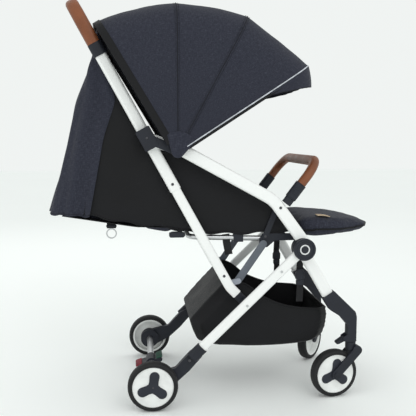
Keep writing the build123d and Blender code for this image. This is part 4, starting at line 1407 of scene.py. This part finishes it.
# ---- webbing ----
class StrollerStraps(bpy.types.Operator):
    """Harness, basket straps with buckles, the recline strap, and the seat rail's strap"""

    bl_idname = "stroller.straps"
    bl_label = "Straps"

    def execute(self, context):
        self.harness()
        self.basket_straps()
        self.small_straps()
        return {"FINISHED"}

    def strap(self, name, points, width, across, body, rests_on, replaced=(), held="hung",
              thickness=0.0018):
        piece, flat = strap_sheet(name, points, width, across, thickness)
        if replaced:
            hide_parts(*replaced)
        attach(piece, body)
        return piece

    def harness(self):
        up = (spot(-0.236, 0.531) - spot(0.064, 0.482)).normalized()
        face = Vector((0.16, 0, 0.987))
        for side, way in SIDES.items():
            y = way * 0.050
            low = spot(0.040, 0.4955, y)
            points = [low, low + up * 0.06 + face * 0.002, low + up * 0.14 + face * 0.003,
                      low + up * 0.21 - face * 0.001]
            self.strap(f"harness_shoulder_{side}", points, 0.025, (0, 1, 0), "backrest",
                       ["backrest_cushion"],
                       ("backrest_straps",), "laid")
            pad = slab(f"harness_pad_{side}",
                       arc((0.030, 0), 0.018, -90, 90) + arc((-0.030, 0), 0.018, 90, 270),
                       -0.0045, 0.0045, 0.003)
            lay = Matrix(((-up.x, face.x, 0, 0), (0, 0, 1, 0), (-up.z, face.z, 0, 0), (0, 0, 0, 1)))
            centre = low + up * 0.105 + face * 0.008
            pad.data.transform(Matrix.Translation(centre) @ lay)
            outward(pad)
            smooth(pad)
            placed(pad, "backrest", "solid_weave")
            waist = [spot(0.120, 0.4815, way * 0.110), spot(0.138, 0.483, way * 0.080),
                     spot(0.160, 0.4850, way * 0.040),
                     spot(0.170, 0.4855, way * 0.018)]
            self.strap(f"harness_waist_{side}", waist, 0.025, (1, 0, 0), "seat_base",
                       ["seat_cushion_pad"],
                       ("waist_strap",), "laid")
        body = slab("harness_buckle",
                    arc((0.012, 0), 0.014, -60, 60, 6) + arc((-0.012, 0), 0.014, 120, 240, 6),
                    -0.024, 0.024, 0.003)
        body.data.transform(Matrix.Translation(spot(0.172, 0.490)) @ Matrix.Scale(0.42, 4,
                                                                                  Vector((0, 0, 1))))
        button = turned("harness_button",
                        [(0.0001, -0.001), (0.008, -0.001), (0.0095, 0.0), (0.0095, 0.003),
                         (0.0001, 0.003)], 32)
        button.data.transform(Matrix.Translation(spot(0.172,
                                                      0.4968)) @ Matrix.Rotation(math.radians(-90), 4,
                                                                                 "X"))
        outward(button)
        for piece, look in ((body, "plastic"), (button, "slate")):
            smooth(piece)
            placed(piece, "seat_base", look)

    def basket_straps(self):
        for side, way in SIDES.items():
            y = way * 0.1445
            points = [spot(0.400, 0.412, y), spot(0.4015, 0.375, y), spot(0.400, 0.340, y),
                      spot(0.4025, 0.300, y),
                      spot(0.401, 0.258, y)]
            strap = self.strap(f"basket_strap_{side}", points, 0.018, (1, 0, 0), "rear_frame",
                               ["front_brackets"],
                               ("basket_straps",))
            top = slab(f"basket_buckle_{side}",
                       [(-0.009, 0.0), (-0.012, 0.004), (-0.012, 0.019), (-0.007, 0.030),
                                                (0.007, 0.030), (0.012, 0.019), (0.012, 0.004),
                        (0.009, 0.0)],
                       -0.0045, 0.0045, 0.0015)
            top.data.transform(Matrix.Translation(spot(0.401, 0.318, y)))
            tongue = slab("tongue",
                          [(-0.0085, -0.014), (-0.010, -0.010), (-0.010, 0.0), (0.010, 0.0),
                           (0.010, -0.010),
                                     (0.0085, -0.014)], -0.0035, 0.0035, 0.001)
            tongue.data.transform(Matrix.Translation(spot(0.401, 0.3175, y)))
            buckle = joined(f"basket_buckle_{side}", [top, tongue])
            smooth(buckle)
            placed(buckle, "rear_frame", "plastic")
            for soft in (strap, buckle):
                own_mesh(soft)

    def small_straps(self):
        loop = [spot(-0.108, 0.472, 0.006), spot(-0.108, 0.458, 0.0075), spot(-0.108, 0.4475, 0.0072),
                spot(-0.108, 0.4455, 0.006), spot(-0.108, 0.4475, 0.0048), spot(-0.108, 0.458, 0.0045),
                spot(-0.108, 0.472, 0.006)]
        self.strap("recline_loop", loop, 0.026, (1, 0, 0), "backrest", ["backrest_cushion"],
                   ("backrest_straps",),
                   thickness=0.0012)
        keeper = slab("recline_keeper",
                      [(-0.0145, -0.003), (-0.0145, 0.003), (0.0145, 0.003), (0.0145, -0.003)],
                      -0.0035, 0.0035, 0.001)
        keeper.data.transform(Matrix.Translation(spot(-0.108, 0.452, 0.006)))
        placed(keeper, "backrest", "plastic")
        tail = [spot(0.199, 0.446, -0.138), spot(0.200, 0.425, -0.1465), spot(0.203, 0.410, -0.1455),
                spot(0.207, 0.392, -0.1435)]
        self.strap("seat_rail_strap", tail, 0.020, (1, 0, 0.12), "seat_base", ["seat_rails"])
        for side, way in SIDES.items():
            clip = slab(f"seat_rear_clip_{side}",
                        [(-0.020, -0.004), (-0.017, -0.008), (0.018, -0.008), (0.022, -0.004),
                                                   (0.022, 0.005), (0.012, 0.008), (-0.012, 0.008),
                         (-0.020, 0.005)],
                        -0.004, 0.004, 0.0015)
            clip.data.transform(Matrix.Translation(spot(0.068, 0.447, way * 0.140)))
            placed(clip, "seat_base", "plastic")


# ---- panel and registration ----
STEPS = (StrollerStage, StrollerFrame, StrollerWheels, StrollerGrips, StrollerCanopy, StrollerVisor,
         StrollerRearFlap, StrollerSidePanels, StrollerSeat, StrollerBasket, StrollerStraps)


class VIEW3D_PT_stroller(bpy.types.Panel):
    """Lists the stroller's sizes, colours and pieces"""

    bl_label = "Stroller"
    bl_idname = "VIEW3D_PT_stroller"
    bl_space_type = "VIEW_3D"
    bl_region_type = "UI"
    bl_category = "Stroller"

    def draw(self, context):
        for group in (context.scene.stroller_sizes, context.scene.stroller_colours):
            column = self.layout.column(align=True)
            for name in group.__annotations__:
                column.prop(group, name)
        for step in STEPS:
            self.layout.operator(step.bl_idname)


CLASSES = (StrollerSizes, StrollerColours, *STEPS, VIEW3D_PT_stroller)


def register():
    for kind in CLASSES:
        bpy.utils.register_class(kind)
    bpy.types.Scene.stroller_sizes = bpy.props.PointerProperty(type=StrollerSizes)
    bpy.types.Scene.stroller_colours = bpy.props.PointerProperty(type=StrollerColours)


def unregister():
    del bpy.types.Scene.stroller_colours
    del bpy.types.Scene.stroller_sizes
    for kind in reversed(CLASSES):
        bpy.utils.unregister_class(kind)


def main():
    register()
    for step in STEPS:
        group, name = step.bl_idname.split(".")
        getattr(getattr(bpy.ops, group), name)()
    bpy.context.view_layer.update()


if __name__ == "__main__":
    main()
